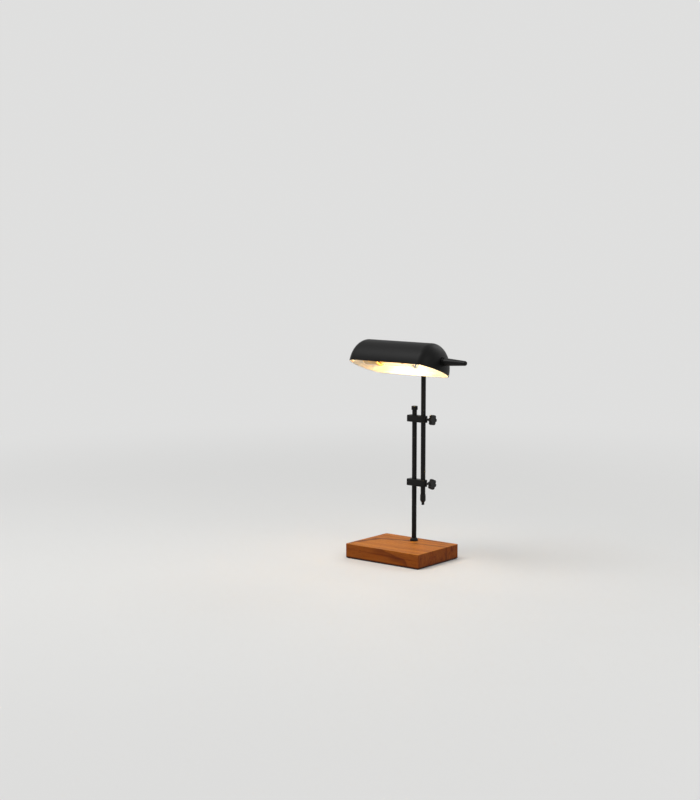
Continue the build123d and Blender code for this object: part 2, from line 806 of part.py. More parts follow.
with BuildPart() as handle_washer:
    with BuildSketch(across_handle(handle_screw_seat_x)):
        Circle(handle_washer_radius)
        Circle(handle_screw_radius + arm_hole_clearance, mode=Mode.SUBTRACT)
    extrude(amount=4 * handle_washer_thickness)
    add(dome_inside, mode=Mode.INTERSECT)
write_part(handle_washer, "handle_washer")

with BuildPart() as handle_screw:
    with BuildSketch(across_handle(handle_screw_seat_x)):
        Circle(handle_screw_head_radius)
    extrude(amount=-handle_screw_head_height)
    fillet(handle_screw.faces().sort_by(Axis.X)[0].edges(), handle_screw_head_height / 2)
    with BuildSketch(across_handle(handle_screw_seat_x)):
        Circle(handle_screw_radius)
    extrude(amount=collar_face_x + handle_screw_grip - handle_screw_margin - handle_screw_seat_x)
write_part(handle_screw, "handle_screw")

# Lamp holder on the left end: nipple through the wall, washers, cap nut, shell
holder_back_x = shade_wall - holder_wall_x + holder_washer_thickness
cap_nut_seat_x = -holder_wall_x - holder_washer_thickness
nipple_start_x = cap_nut_seat_x - cap_nut_height + cap_nut_roof
with BuildPart() as holder_nipple:
    with BuildSketch(across_holder(nipple_start_x)):
        Circle(nipple_radius)
        Circle(nipple_bore_radius, mode=Mode.SUBTRACT)
    extrude(amount=holder_back_x + nipple_grip - nipple_start_x)
write_part(holder_nipple, "holder_nipple")

with BuildPart() as holder_outer_washer:
    with BuildSketch(across_holder(cap_nut_seat_x)):
        Circle(holder_washer_radius)
        Circle(nipple_radius + arm_hole_clearance, mode=Mode.SUBTRACT)
    extrude(amount=4 * holder_washer_thickness)
    add(dome_outside, mode=Mode.SUBTRACT)
write_part(holder_outer_washer, "holder_outer_washer")

with BuildPart() as holder_inner_washer:
    with BuildSketch(across_holder(holder_back_x)):
        Circle(holder_washer_radius)
        Circle(nipple_radius + arm_hole_clearance, mode=Mode.SUBTRACT)
    extrude(amount=-4 * holder_washer_thickness)
    add(dome_inside, mode=Mode.INTERSECT)
write_part(holder_inner_washer, "holder_inner_washer")

with BuildPart() as holder_cap_nut:
    with BuildSketch(across_holder(cap_nut_seat_x)):
        Circle(cap_nut_radius)
    extrude(amount=-cap_nut_height)
    fillet(holder_cap_nut.faces().sort_by(Axis.X)[0].edges(), cap_nut_edge_radius)
    with BuildSketch(across_holder(cap_nut_seat_x)):
        Circle(nipple_radius + nipple_clearance)
    extrude(amount=cap_nut_roof - cap_nut_height, mode=Mode.SUBTRACT)
write_part(holder_cap_nut, "holder_cap_nut")

mouth_x = holder_back_x + holder_length
cavity_x = holder_back_x + holder_dome_length
cavity_radius = holder_radius - holder_wall
with BuildPart() as holder_shell:
    with BuildSketch(holder_section):
        with BuildLine():
            back = Line((holder_back_x, 0), (holder_back_x, holder_back_radius))
            step = Line(back @ 1, (holder_back_x + holder_step_length, holder_back_radius))
            RadiusArc(step @ 1, (cavity_x, holder_radius), holder_dome_radius)
            side = Line((cavity_x, holder_radius), (mouth_x - holder_lip_length, holder_radius))
            rim = Line(side @ 1, side @ 1 + Vector(holder_lip_height, holder_lip_height))
            lip = Line(rim @ 1, (mouth_x - holder_lip_height, holder_radius + holder_lip_height))
            edge = Line(lip @ 1, (mouth_x, holder_radius))
            front = Line(edge @ 1, (mouth_x, cavity_radius))
            inside = Line(front @ 1, (cavity_x, cavity_radius))
            floor = Line(inside @ 1, (cavity_x, 0))
            Line(floor @ 1, back @ 0)
        make_face()
    revolve(axis=holder_axis)
    with BuildSketch(across_holder(holder_back_x)):
        Circle(nipple_radius + nipple_clearance)
    extrude(amount=holder_dome_length, mode=Mode.SUBTRACT)
write_part(holder_shell, "holder_shell")

# Inside the holder: insulator, threaded sleeve and centre contact
insulator_front_x = cavity_x + insulator_thickness
with BuildPart() as holder_insulator:
    with BuildSketch(across_holder(cavity_x)):
        Circle(cavity_radius - insulator_clearance)
        Circle(nipple_bore_radius, mode=Mode.SUBTRACT)
    extrude(amount=insulator_thickness)
write_part(holder_insulator, "holder_insulator")

with BuildPart() as holder_sleeve:
    with BuildSketch(across_holder(insulator_front_x)):
        Circle(sleeve_radius)
        Circle(sleeve_radius - sleeve_wall, mode=Mode.SUBTRACT)
    extrude(amount=sleeve_length)
write_part(holder_sleeve, "holder_sleeve")

contact_x = insulator_front_x + bulb_seat_length
with BuildPart() as holder_contact:
    with BuildSketch(holder_section):
        with BuildLine():
            Polyline(
                (insulator_front_x + tongue_strip_thickness / 2, tongue_strip_length),
                (insulator_front_x + tongue_strip_thickness / 2, tongue_strip_length / 2),
                (contact_x - tongue_strip_thickness / 2, tongue_strip_length / 6),
                (contact_x - tongue_strip_thickness / 2, -tongue_strip_length / 4),
            )
        trace(line_width=tongue_strip_thickness)
    extrude(amount=tongue_strip_width / 2, both=True)
write_part(holder_contact, "holder_contact")

# Bulb: centre contact, insulating base, screw cap, tubular glass and its inside
seat_x = contact_x + bulb_contact_height
cap_floor_x = seat_x + bulb_base_height
bulb_cap_end_x = cap_floor_x + bulb_cap_length
with BuildPart() as bulb_contact:
    with BuildSketch(across_holder(contact_x)):
        Circle(bulb_contact_radius)
    extrude(amount=bulb_contact_height)
write_part(bulb_contact, "bulb_contact")

with BuildPart() as bulb_base_glass:
    with BuildSketch(across_holder(seat_x)):
        Circle(bulb_contact_radius + bulb_base_margin)
    with BuildSketch(across_holder(cap_floor_x)):
        Circle(bulb_cap_floor_radius)
    loft()
write_part(bulb_base_glass, "bulb_base_glass")

with BuildPart() as bulb_cap:
    with BuildSketch(holder_section):
        with BuildLine():
            Polyline(
                (cap_floor_x, 0),
                (cap_floor_x, bulb_cap_floor_radius),
                (cap_floor_x + bulb_cap_radius - bulb_cap_floor_radius, bulb_cap_radius),
                (bulb_cap_end_x, bulb_cap_radius),
                (bulb_cap_end_x, bulb_cap_radius - bulb_cap_wall),
                (cap_floor_x + bulb_cap_radius - bulb_cap_floor_radius, bulb_cap_radius - bulb_cap_wall),
                (cap_floor_x + bulb_cap_wall, bulb_cap_floor_radius - bulb_cap_wall / 2),
                (cap_floor_x + bulb_cap_wall, 0),
                close=True,
            )
        make_face()
    revolve(axis=holder_axis)
write_part(bulb_cap, "bulb_cap")

neck_start_x = bulb_cap_end_x - bulb_neck_length
shoulder_x = bulb_cap_end_x + bulb_shoulder_length
bulb_tip_x = bulb_cap_end_x + bulb_length


def bulb_profile(inset):
    body_radius = bulb_radius - inset
    neck_radius = bulb_neck_radius - inset
    with BuildLine() as profile:
        neck = Line((neck_start_x, neck_radius), (bulb_cap_end_x, neck_radius))
        Spline(neck @ 1, (shoulder_x, body_radius), tangents=((1, 0), (1, 0)))
        Line((shoulder_x, body_radius), (bulb_tip_x - bulb_radius, body_radius))
        EllipticalCenterArc((bulb_tip_x - bulb_radius, 0), body_radius, body_radius, arc_size=90)
    return profile.line


glass_outside = bulb_profile(0)
glass_inside = bulb_profile(bulb_wall)
with BuildPart() as bulb_glass:
    with BuildSketch(holder_section):
        with BuildLine():
            add(glass_outside)
            add(glass_inside)
            Line((neck_start_x, bulb_neck_radius), (neck_start_x, bulb_neck_radius - bulb_wall))
            Line((bulb_tip_x - bulb_wall, 0), (bulb_tip_x, 0))
        make_face()
    revolve(axis=holder_axis)
write_part(bulb_glass, "bulb_glass")

# Glass stem: a flare that closes the neck and a post towards the filaments
stem_end_x = neck_start_x + bulb_stem_length
stem_foot_radius = bulb_neck_radius - bulb_wall - bulb_seal_gap
with BuildPart() as bulb_stem:
    with BuildSketch(holder_section):
        with BuildLine():
            Polyline(
                (neck_start_x, 0),
                (neck_start_x, stem_foot_radius),
                (neck_start_x + bulb_stem_foot_length, stem_foot_radius),
                (neck_start_x + bulb_stem_length / 3, bulb_stem_radius),
                (stem_end_x, bulb_stem_radius),
                (stem_end_x, 0),
                close=True,
            )
        make_face()
    revolve(axis=holder_axis)
write_part(bulb_stem, "bulb_stem")

# Filament sticks round a mast, held by short wires at both ends
filament_x = neck_start_x + filament_start
filament_end_x = filament_x + filament_length
with BuildPart() as bulb_filaments:
    with BuildSketch(across_holder(filament_x)):
        with PolarLocations(filament_circle_radius, filament_count, start_angle=45):
            Circle(filament_radius)
    extrude(amount=filament_length)
write_part(bulb_filaments, "bulb_filaments")

wire_reach = filament_circle_radius
with BuildPart() as bulb_mast:
    with BuildSketch(across_holder(stem_end_x)):
        Circle(mast_radius)
    extrude(amount=filament_end_x + 2 * wire_radius - stem_end_x)
    with BuildSketch(across_holder(filament_end_x)):
        with PolarLocations(wire_reach / 2, filament_count, start_angle=45):
            Rectangle(wire_reach, 2 * wire_radius)
    extrude(amount=2 * wire_radius)
write_part(bulb_mast, "bulb_mast")

with BuildPart() as bulb_wires:
    with BuildSketch(across_holder(filament_x - 2 * wire_radius)):
        with PolarLocations(wire_reach / 2, filament_count, start_angle=45):
            Rectangle(wire_reach, 2 * wire_radius)
        Circle(bulb_stem_radius, mode=Mode.SUBTRACT)
    extrude(amount=2 * wire_radius)
write_part(bulb_wires, "bulb_wires")
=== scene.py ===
import json
from math import cos, pi, radians, sin
import bmesh
import bpy
import numpy as np
from mathutils import Euler, Matrix, Vector


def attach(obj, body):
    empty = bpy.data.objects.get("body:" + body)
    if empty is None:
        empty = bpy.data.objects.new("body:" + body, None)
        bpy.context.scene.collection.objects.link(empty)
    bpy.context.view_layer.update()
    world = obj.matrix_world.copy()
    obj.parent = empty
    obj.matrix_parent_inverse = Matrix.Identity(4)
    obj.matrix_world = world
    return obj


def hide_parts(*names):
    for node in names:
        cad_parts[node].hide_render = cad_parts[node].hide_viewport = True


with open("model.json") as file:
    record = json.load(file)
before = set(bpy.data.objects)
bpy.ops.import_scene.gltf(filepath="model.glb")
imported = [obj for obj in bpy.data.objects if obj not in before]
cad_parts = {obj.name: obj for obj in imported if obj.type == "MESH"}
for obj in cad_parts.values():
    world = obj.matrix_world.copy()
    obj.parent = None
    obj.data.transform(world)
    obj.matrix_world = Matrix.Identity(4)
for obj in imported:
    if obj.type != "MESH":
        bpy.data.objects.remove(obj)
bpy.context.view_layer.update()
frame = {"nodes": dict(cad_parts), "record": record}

cadNodes = frame["nodes"]
bodyOf = {node: body for body, nodes in frame["record"]["behaviour"]["bodies"].items() for node in nodes}
slotOf = {row["node"]: row["material_slot"] for row in frame["record"]["subparts"]}

# Camera: at the photograph's angle and 3.5 m away, aimed to the left of the lamp's middle and above it
cameraView = {
    "place": (2.0476, -2.7401, 0.7408),
    "heading": 38.57,   # degrees round from the front, to the right
    "pitch": 6.84,      # degrees downwards
    "lens": 75.51,      # millimetres
    "farthest": 60.0,   # metres
}


def newObject(name, data):
    thing = bpy.data.objects.new(name, data)
    bpy.context.scene.collection.objects.link(thing)
    return thing


def makeCamera(view):
    data = bpy.data.cameras.new("camera")
    data.lens = view["lens"]
    data.clip_end = view["farthest"]
    camera = newObject("camera", data)
    turn = Euler((radians(90 - view["pitch"]), 0, radians(view["heading"])))
    camera.matrix_world = Matrix.LocRotScale(view["place"], turn, None)
    bpy.context.scene.camera = camera


makeCamera(cameraView)
print("camera made")


# Values for a node's inputs: an output to link, a colour as red, green and blue, or a plain value
def setInputs(tree, node, inputs):
    for name, value in inputs.items():
        socket = node.inputs[name]
        if isinstance(value, bpy.types.NodeSocket):
            tree.links.new(value, socket)
        else:
            socket.default_value = (*value, 1) if socket.type == "RGBA" else value


def addNode(tree, kind, inputs=None, **settings):
    node = tree.nodes.new("ShaderNode" + kind)
    for name, value in settings.items():
        setattr(node, name, value)
    setInputs(tree, node, inputs or {})
    return node


def math(tree, operation, first, second=0.0, clamp=False):
    return addNode(tree, "Math", {0: first, 1: second}, operation=operation, use_clamp=clamp).outputs[0]


def times(tree, first, second):
    return math(tree, "MULTIPLY", first, second)


def vector(tree, operation, first, second=(0, 0, 0), output="Vector"):
    return addNode(tree, "VectorMath", {0: first, 1: second}, operation=operation).outputs[output]


def mixColour(tree, share, first, second, blend="MIX"):
    node = addNode(tree, "Mix", {0: share, 6: first, 7: second}, data_type="RGBA", blend_type=blend)
    return node.outputs[2]


def rescale(tree, value, low, high, toLow=0.0, toHigh=1.0, smooth=False):
    values = {0: value, 1: low, 2: high, 3: toLow, 4: toHigh}
    kind = "SMOOTHSTEP" if smooth else "LINEAR"
    return addNode(tree, "MapRange", values, clamp=True, interpolation_type=kind).outputs[0]


def noise(tree, point, scale, detail=2.0, roughness=0.5, output="Fac"):
    values = {"Vector": point, "Scale": scale, "Detail": detail, "Roughness": roughness}
    return addNode(tree, "TexNoise", values).outputs[output]


def newMaterial(name, sockets):
    material = bpy.data.materials.new(name)
    material.use_nodes = True
    tree = material.node_tree
    shader = tree.nodes["Principled BSDF"]
    setInputs(tree, shader, sockets)
    return material, tree, shader


def place(tree):
    return addNode(tree, "TexCoord").outputs["Object"]


# Fine grain of a painted, moulded or plated surface: small bumps, and broad patches that are
# a little duller or glossier than the rest. fine and patches are each noise's detail and roughness.
surfaceNoise = {
    "fine": (3.0, 0.6),
    "patches": (4.0, 0.55),
    "patchRange": (0.3, 0.7),
}


def makeSurfaceGrain(look):
    group = bpy.data.node_groups.new("surfaceGrain", "ShaderNodeTree")
    inputs = {"Vector": "Vector", "Grain per metre": "Float", "Patches per metre": "Float",
              "Roughness": "Float", "Spread": "Float", "Light": "Color", "Dark": "Color"}
    outputs = {"Color": "Color", "Roughness": "Float", "Height": "Float"}
    for way, sockets in (("INPUT", inputs), ("OUTPUT", outputs)):
        for label, kind in sockets.items():
            group.interface.new_socket(label, in_out=way, socket_type="NodeSocket" + kind)
    source = group.nodes.new("NodeGroupInput").outputs
    fine = noise(group, source["Vector"], source["Grain per metre"], *look["fine"])
    patches = noise(group, source["Vector"], source["Patches per metre"], *look["patches"])
    # Both noises swing about a half
    swing = math(group, "SUBTRACT", math(group, "ADD", patches, fine), 1.0)
    change = times(group, swing, source["Spread"])
    rough = math(group, "ADD", source["Roughness"], change, clamp=True)
    lightShare = rescale(group, patches, *look["patchRange"])
    colour = mixColour(group, lightShare, source["Dark"], source["Light"])
    result = group.nodes.new("NodeGroupOutput")
    setInputs(group, result, {"Color": colour, "Roughness": rough, "Height": fine})
    return group


surfaceGrain = makeSurfaceGrain(surfaceNoise)


def grainedMaterial(name, light, dark, roughness, spread, grain, patches, relief, sockets):
    material, tree, shader = newMaterial(name, sockets)
    values = {"Vector": place(tree), "Grain per metre": grain, "Patches per metre": patches,
              "Roughness": roughness, "Spread": spread, "Light": light, "Dark": dark}
    node = addNode(tree, "Group", values, node_tree=surfaceGrain).outputs
    bump = addNode(tree, "Bump", {"Height": node["Height"], "Distance": relief / 1e6, "Strength": 1.0})
    values = {"Base Color": node["Color"], "Roughness": node["Roughness"], "Normal": bump.outputs[0]}
    setInputs(tree, shader, values)
    return material


# Wood: growth rings round a pith line behind the block, wandering fibres along X, pores, and
# a few broad red streaks. Lengths are in metres in the block's own frame, and scales are per metre.
woodLook = {
    "honey": (0.56, 0.200, 0.024),
    "amber": (0.43, 0.132, 0.015),
    "red": (0.150, 0.030, 0.005),
    "dark": (0.075, 0.019, 0.005),
    "pore": (0.045, 0.014, 0.006),
    "paleFibre": (0.56, 0.25, 0.065),
    # painted shade on the sides, and the end grain's own darker tone
    "sideShadeTint": (0.56, 0.42, 0.36),
    "endTint": (0.80, 0.74, 0.70),
    "pith": (0.0, 0.185, -0.012),
    "pithSlope": 0.16,
    "ringSpacing": 0.0058,
    "ringPower": 2.6,
    "ringEnd": 0.93,
    "driftScale": (4.5, 16, 16),
    "drift": (0.0, 0.034, 0.026),
    "fibreScale": (22, 900, 900),
    "bandScale": (3.2, 95, 95),
    "poreScale": (120, 1900, 1900),
    # Parts of a noise's values: from one to the other a mark sets in
    "amberBands": (0.34, 0.66),
    "redBands": (0.60, 0.76),
    "pores": (0.63, 0.70),
    "darkFibres": (0.56, 0.82),
    "paleFibres": (0.44, 0.20),
    "streakFibres": (0.36, 0.60),
    "bandRed": 0.75,
    "ringRed": 0.85,
    "streakRed": 0.95,
    "streakDark": 0.45,
    "poreDark": 0.8,
    "fibreDark": 0.75,
    "fibrePale": 0.30,
    "streakBreak": (0.40, 1.45),
    # The darker sides (painted shade, and the end grain's own tone) and the painted gap shadow at their
    # foot set in between these two values of |x|, of |y| and of z
    "endFace": (0.0920, 0.0926),
    "longFace": (0.0685, 0.0691),
    "topFace": (0.0303, 0.0297),
    # painted shadow at the foot of the sides: the heights where it sets in, and how dark it gets
    "paintedGapShadow": (0.0052, 0.0028),
    "paintedGapShadowDark": 0.96,
    "specular": 0.10,
    "roughness": 0.56,
    "fibreRoughness": 0.25,
    "poreRoughness": 0.2,
    "fibreRelief": 0.35,
    "relief": 0.00012,
    "reliefStrength": 0.6,
}
# Broad dark streaks on the board's top: start, end (x, y) and half width
woodStreaks = [
    ((-0.078, 0.014), (0.004, 0.038), 0.0085),
    ((0.020, 0.020), (0.090, 0.027), 0.0062),
    ((-0.093, -0.055), (-0.070, 0.012), 0.0110),
    ((0.012, 0.062), (0.070, 0.061), 0.0060),
]
# How far streaks wander sideways, and where they fade at an end: inside and past it
streakWander = 0.008
streakFade = (0.004, 0.012)


# One broad streak: full on its line, and fading out over its half width and past its ends
def woodStreak(tree, point, wander, start, end, width):
    along = Vector(end) - Vector(start)
    middle, way = along.length / 2, along.normalized()
    fromStart = vector(tree, "SUBTRACT", point, (*start, 0))
    run = vector(tree, "DOT_PRODUCT", fromStart, (way.x, way.y, 0), "Value")
    side = vector(tree, "DOT_PRODUCT", fromStart, (-way.y, way.x, 0), "Value")
    offset = math(tree, "ABSOLUTE", math(tree, "ADD", side, wander))
    across = rescale(tree, offset, 0.0, width, 1.0, 0.0, smooth=True)
    fromMiddle = math(tree, "ABSOLUTE", math(tree, "SUBTRACT", run, middle))
    inside, past = middle - streakFade[0], middle + streakFade[1]
    return times(tree, across, rescale(tree, fromMiddle, inside, past, 1.0, 0.0, smooth=True))


def woodMaterial(look, streaks):
    material, tree, shader = newMaterial("oiledWood", {"Specular IOR Level": look["specular"]})

    def scaled(point, name):
        return addNode(tree, "Mapping", {"Vector": point, "Scale": look[name]}).outputs[0]

    def coloured(share, below, name, blend="MIX"):
        return mixColour(tree, share, below, look[name], blend)

    point = place(tree)
    # The grain drifts sideways by a few millimetres along the board
    drift = noise(tree, scaled(point, "driftScale"), 1.0, 3.0, output="Color")
    pull = vector(tree, "SUBTRACT", drift, (0.5, 0.5, 0.5))
    bent = vector(tree, "ADD", point, vector(tree, "MULTIPLY", pull, look["drift"]))
    parts = addNode(tree, "SeparateXYZ", {0: vector(tree, "SUBTRACT", bent, look["pith"])}).outputs
    # Distance from the pith line, which also runs down towards the right end
    side = times(tree, parts[1], parts[1])
    lift = math(tree, "ADD", parts[2], times(tree, parts[0], look["pithSlope"]))
    radius = math(tree, "SQRT", math(tree, "ADD", side, times(tree, lift, lift)))
    rings = math(tree, "DIVIDE", radius, look["ringSpacing"])
    ringNumber = math(tree, "FLOOR", rings)
    ringShare = math(tree, "FRACT", rings)
    ringChance = addNode(tree, "TexWhiteNoise", {1: ringNumber}, noise_dimensions="1D").outputs["Value"]
    # Early wood is pale, late wood darkens slowly and ends sharply
    late = math(tree, "POWER", ringShare, look["ringPower"])
    edge = rescale(tree, ringShare, look["ringEnd"], 1.0, 1.0, 0.0)
    ringDepth = rescale(tree, ringChance, 0.0, 1.0, 0.35, 1.0)
    ringDark = times(tree, times(tree, late, edge), ringDepth)
    # Fibres: long thin streaks. Pores: short dark dashes, thickest in the early wood.
    fibres = noise(tree, scaled(bent, "fibreScale"), 1.0, 5.0, 0.62)
    bands = noise(tree, scaled(bent, "bandScale"), 1.0, 3.0, 0.55)
    pores = noise(tree, scaled(bent, "poreScale"), 1.0, 1.0)
    early = rescale(tree, ringShare, 0.0, 0.55, 1.0, 0.25)
    poreMask = times(tree, rescale(tree, pores, *look["pores"]), early)
    # Colour: honey to amber in bands, red where the rings end and in the broad streaks
    base = coloured(rescale(tree, bands, *look["amberBands"]), look["honey"], "amber")
    bandRed = times(tree, rescale(tree, bands, *look["redBands"]), look["bandRed"])
    ringRed = times(tree, ringDark, look["ringRed"])
    redShare = math(tree, "ADD", bandRed, ringRed, clamp=True)
    wander = times(tree, math(tree, "SUBTRACT", bands, 0.5), streakWander)
    marks = None
    for start, end, width in streaks:
        mark = woodStreak(tree, point, wander, start, end, width)
        marks = mark if marks is None else math(tree, "MAXIMUM", marks, mark)
    # Fibres break each streak up, so that it lies in the grain
    broken = rescale(tree, fibres, *look["streakFibres"], *look["streakBreak"])
    marks = math(tree, "MULTIPLY", marks, broken, clamp=True)
    redShare = math(tree, "MAXIMUM", redShare, times(tree, marks, look["streakRed"]))
    reddened = coloured(redShare, base, "red")
    darkened = coloured(times(tree, marks, look["streakDark"]), reddened, "dark")
    darkFibres = rescale(tree, fibres, *look["darkFibres"], 0.0, look["fibreDark"])
    paleFibres = rescale(tree, fibres, *look["paleFibres"], 0.0, look["fibrePale"])
    grainy = coloured(paleFibres, coloured(darkFibres, darkened, "dark"), "paleFibre")
    pored = coloured(times(tree, poreMask, look["poreDark"]), grainy, "pore")
    # Painted shade: the block's sides are darker and redder than its top, as they would be in shade. The
    # end grain is darker still, as it takes up more oil.
    x, y, z = addNode(tree, "SeparateXYZ", {0: vector(tree, "ABSOLUTE", point)}).outputs
    endFace = rescale(tree, x, *look["endFace"])
    longFace = rescale(tree, y, *look["longFace"])
    belowTop = rescale(tree, z, *look["topFace"])
    shadedSides = times(tree, math(tree, "MAXIMUM", endFace, longFace), belowTop)
    sideShaded = coloured(shadedSides, pored, "sideShadeTint", "MULTIPLY")
    tinted = coloured(times(tree, endFace, belowTop), sideShaded, "endTint", "MULTIPLY")
    # Painted shadow: the lowest millimetres of the sides are almost black, painted as the shade in the gap
    # over the pad below them
    paintedGapShadow = rescale(tree, z, *look["paintedGapShadow"], 0.0, look["paintedGapShadowDark"], smooth=True)
    colour = coloured(paintedGapShadow, tinted, "pore")
    swing = times(tree, math(tree, "SUBTRACT", fibres, 0.5), look["fibreRoughness"])
    rough = math(tree, "ADD", look["roughness"], swing)
    dull = times(tree, poreMask, look["poreRoughness"])
    roughness = math(tree, "ADD", rough, dull, clamp=True)
    hollow = math(tree, "SUBTRACT", times(tree, fibres, look["fibreRelief"]), poreMask)
    values = {"Height": hollow, "Distance": look["relief"], "Strength": look["reliefStrength"]}
    bump = addNode(tree, "Bump", values).outputs[0]
    setInputs(tree, shader, {"Base Color": colour, "Roughness": roughness, "Normal": bump})
    return material


# Painted, plated and moulded finishes: light and dark colour, roughness and its spread, grains and
# patches per metre, height of the grain in micrometres, and further values of the shader
grainedLooks = {
    "blackEnamel": ((0.0042, 0.0040, 0.0040), (0.0026, 0.0025, 0.0025), 0.48, 0.08, 700, 22, 12,
                    {"Specular IOR Level": 0.14}),
    "whiteEnamel": ((0.92, 0.89, 0.81), (0.90, 0.865, 0.77), 0.34, 0.08, 500, 20, 10, {}),
    "blackSteel": ((0.0048, 0.0046, 0.0045), (0.0028, 0.0027, 0.0027), 0.40, 0.10, 1300, 60, 6,
                   {"Specular IOR Level": 0.16}),
    "blackScrew": ((0.045, 0.043, 0.042), (0.022, 0.021, 0.021), 0.36, 0.16, 1600, 150, 8,
                   {"Metallic": 0.9}),
    "blackPlastic": ((0.0068, 0.0065, 0.0064), (0.0042, 0.0041, 0.0040), 0.44, 0.10, 2200, 90, 18,
                     {"Specular IOR Level": 0.20}),
    "blackRubber": ((0.020, 0.020, 0.020), (0.013, 0.013, 0.013), 0.74, 0.12, 1500, 110, 30, {}),
    "foamPad": ((0.024, 0.024, 0.025), (0.012, 0.012, 0.013), 0.86, 0.10, 1100, 60, 140, {}),
    "rawSteel": ((0.58, 0.58, 0.59), (0.42, 0.42, 0.43), 0.34, 0.20, 900, 70, 12, {"Metallic": 1.0}),
    "whiteNylon": ((0.80, 0.78, 0.72), (0.74, 0.715, 0.65), 0.48, 0.08, 1500, 90, 10,
                   {"Subsurface Weight": 0.1}),
    # Painted shade: the white porcelain holder is given the honey brown that it shows in its bulb's shadow
    "porcelainInShade": ((0.66, 0.40, 0.115), (0.56, 0.32, 0.085), 0.22, 0.06, 420, 35, 20,
                  {"Coat Weight": 0.3, "Coat Roughness": 0.08}),
    "brass": ((0.80, 0.57, 0.25), (0.62, 0.41, 0.15), 0.27, 0.16, 1400, 120, 8, {"Metallic": 1.0}),
    "blackGlass": ((0.016, 0.014, 0.013), (0.010, 0.009, 0.009), 0.12, 0.05, 900, 150, 4, {}),
    "wire": ((0.86, 0.84, 0.80), (0.72, 0.70, 0.67), 0.50, 0.14, 2600, 300, 4, {"Metallic": 1.0}),
}


# Clear glass that lets the filaments' light straight through to the shade
glassLook = {
    "warm": (1.0, 0.975, 0.93),
    "pale": (1.0, 0.985, 0.955),
    "straightThrough": (0.97, 0.95, 0.91),
    "roughness": (0.015, 0.04),
    "filmsPerMetre": 55.0,
}


def glassMaterial(look):
    sockets = {"Roughness": 0.02, "Transmission Weight": 1.0, "IOR": 1.46}
    material, tree, shader = newMaterial("clearGlass", sockets)
    film = noise(tree, place(tree), look["filmsPerMetre"], 3.0)
    tint = mixColour(tree, film, look["warm"], look["pale"])
    roughness = rescale(tree, film, 0.3, 0.7, *look["roughness"])
    setInputs(tree, shader, {"Base Color": tint, "Roughness": roughness})
    rays = addNode(tree, "LightPath").outputs
    passing = math(tree, "MAXIMUM", rays["Is Shadow Ray"], rays["Is Diffuse Ray"])
    clear = addNode(tree, "BsdfTransparent", {"Color": look["straightThrough"]}).outputs[0]
    mixed = addNode(tree, "MixShader", {0: passing, 1: shader.outputs[0], 2: clear}).outputs[0]
    tree.links.new(mixed, tree.nodes["Material Output"].inputs["Surface"])
    return material


# Glowing filament sticks: a warm phosphor, a little uneven along each stick
filamentLook = {
    "bright": (1.0, 0.74, 0.38),
    "dim": (1.0, 0.64, 0.28),
    "strength": 200.0,
    "beadsPerMetre": 650.0,
}


def filamentMaterial(look):
    material, tree, shader = newMaterial("filament", {"Roughness": 0.6})
    beads = noise(tree, place(tree), look["beadsPerMetre"])
    colour = mixColour(tree, beads, look["dim"], look["bright"])
    values = {"Base Color": colour, "Emission Color": colour, "Emission Strength": look["strength"]}
    setInputs(tree, shader, values)
    return material


grained = {name: grainedMaterial(name, *look) for name, look in grainedLooks.items()}
grainedSlots = {
    "pad": "foamPad", "raw_steel": "rawSteel", "black_metal": "blackSteel", "black_screws": "blackScrew",
    "black_plastic": "blackPlastic", "black_rubber": "blackRubber", "white_nylon": "whiteNylon",
    "white_ceramic": "porcelainInShade", "brass": "brass", "wire": "wire", "black_glass": "blackGlass",
}
finishes = {slot: grained[name] for slot, name in grainedSlots.items()}
finishes["oiled_wood"] = woodMaterial(woodLook, woodStreaks)
finishes["clear_glass"] = glassMaterial(glassLook)
finishes["filament"] = filamentMaterial(filamentLook)
for nodeName, slotName in slotOf.items():
    cadNodes[nodeName].data.materials.clear()
    cadNodes[nodeName].data.materials.append(finishes[slotName])
print("materials made")

# Main places of the lamp, in millimetres like the sizes of its pieces below: shapes are turned into
# metres when their mesh is made
millimetre = 0.001
layout = {
    "postY": 42.5,
    "fixedX": 0.0,
    "slideX": 22.5,
    "baseTop": 30.5,
    "pivotZ": 409.0,
    "armReach": 84.6,
    "armAngle": 23.8,     # degrees from the shade's rim plane
    "tilt": 19.6,         # degrees, to the front
    "handleHeight": 18.0,  # above the rim plane
    "holderHeight": 21.5,
}
# Numbers of points round the turned pieces
pointsRound = {
    "screw": 36,
    "pin": 48,
    "rod": 56,
    "cap": 60,
    "fitting": 64,
    "bulb": 72,
    "knob": 144,
    "thumbNut": 192,
}
tilt = radians(layout["tilt"])
armSlope = radians(layout["armAngle"]) - tilt
acrossX, acrossY, upward = np.eye(3)
shadeBack = np.array((0.0, cos(tilt), -sin(tilt)))
shadeUp = np.array((0.0, sin(tilt), cos(tilt)))
armDirection = np.array((0.0, -cos(armSlope), -sin(armSlope)))
pivot = np.array((layout["slideX"], layout["postY"], layout["pivotZ"]))
archCentre = pivot + armDirection * layout["armReach"]


def pick(shape, names):
    return [shape[name] for name in names.split()]


# A line to turn a profile about: a point on it, its direction, and two directions across it
def uprightLine(x):
    return np.array((x, layout["postY"], 0.0)), upward, acrossX, acrossY


def sidewaysLine(z):
    return np.array((0.0, layout["postY"], z)), acrossX, acrossY, upward


def shadeLine(height):
    return archCentre + shadeUp * height, acrossX, shadeBack, shadeUp


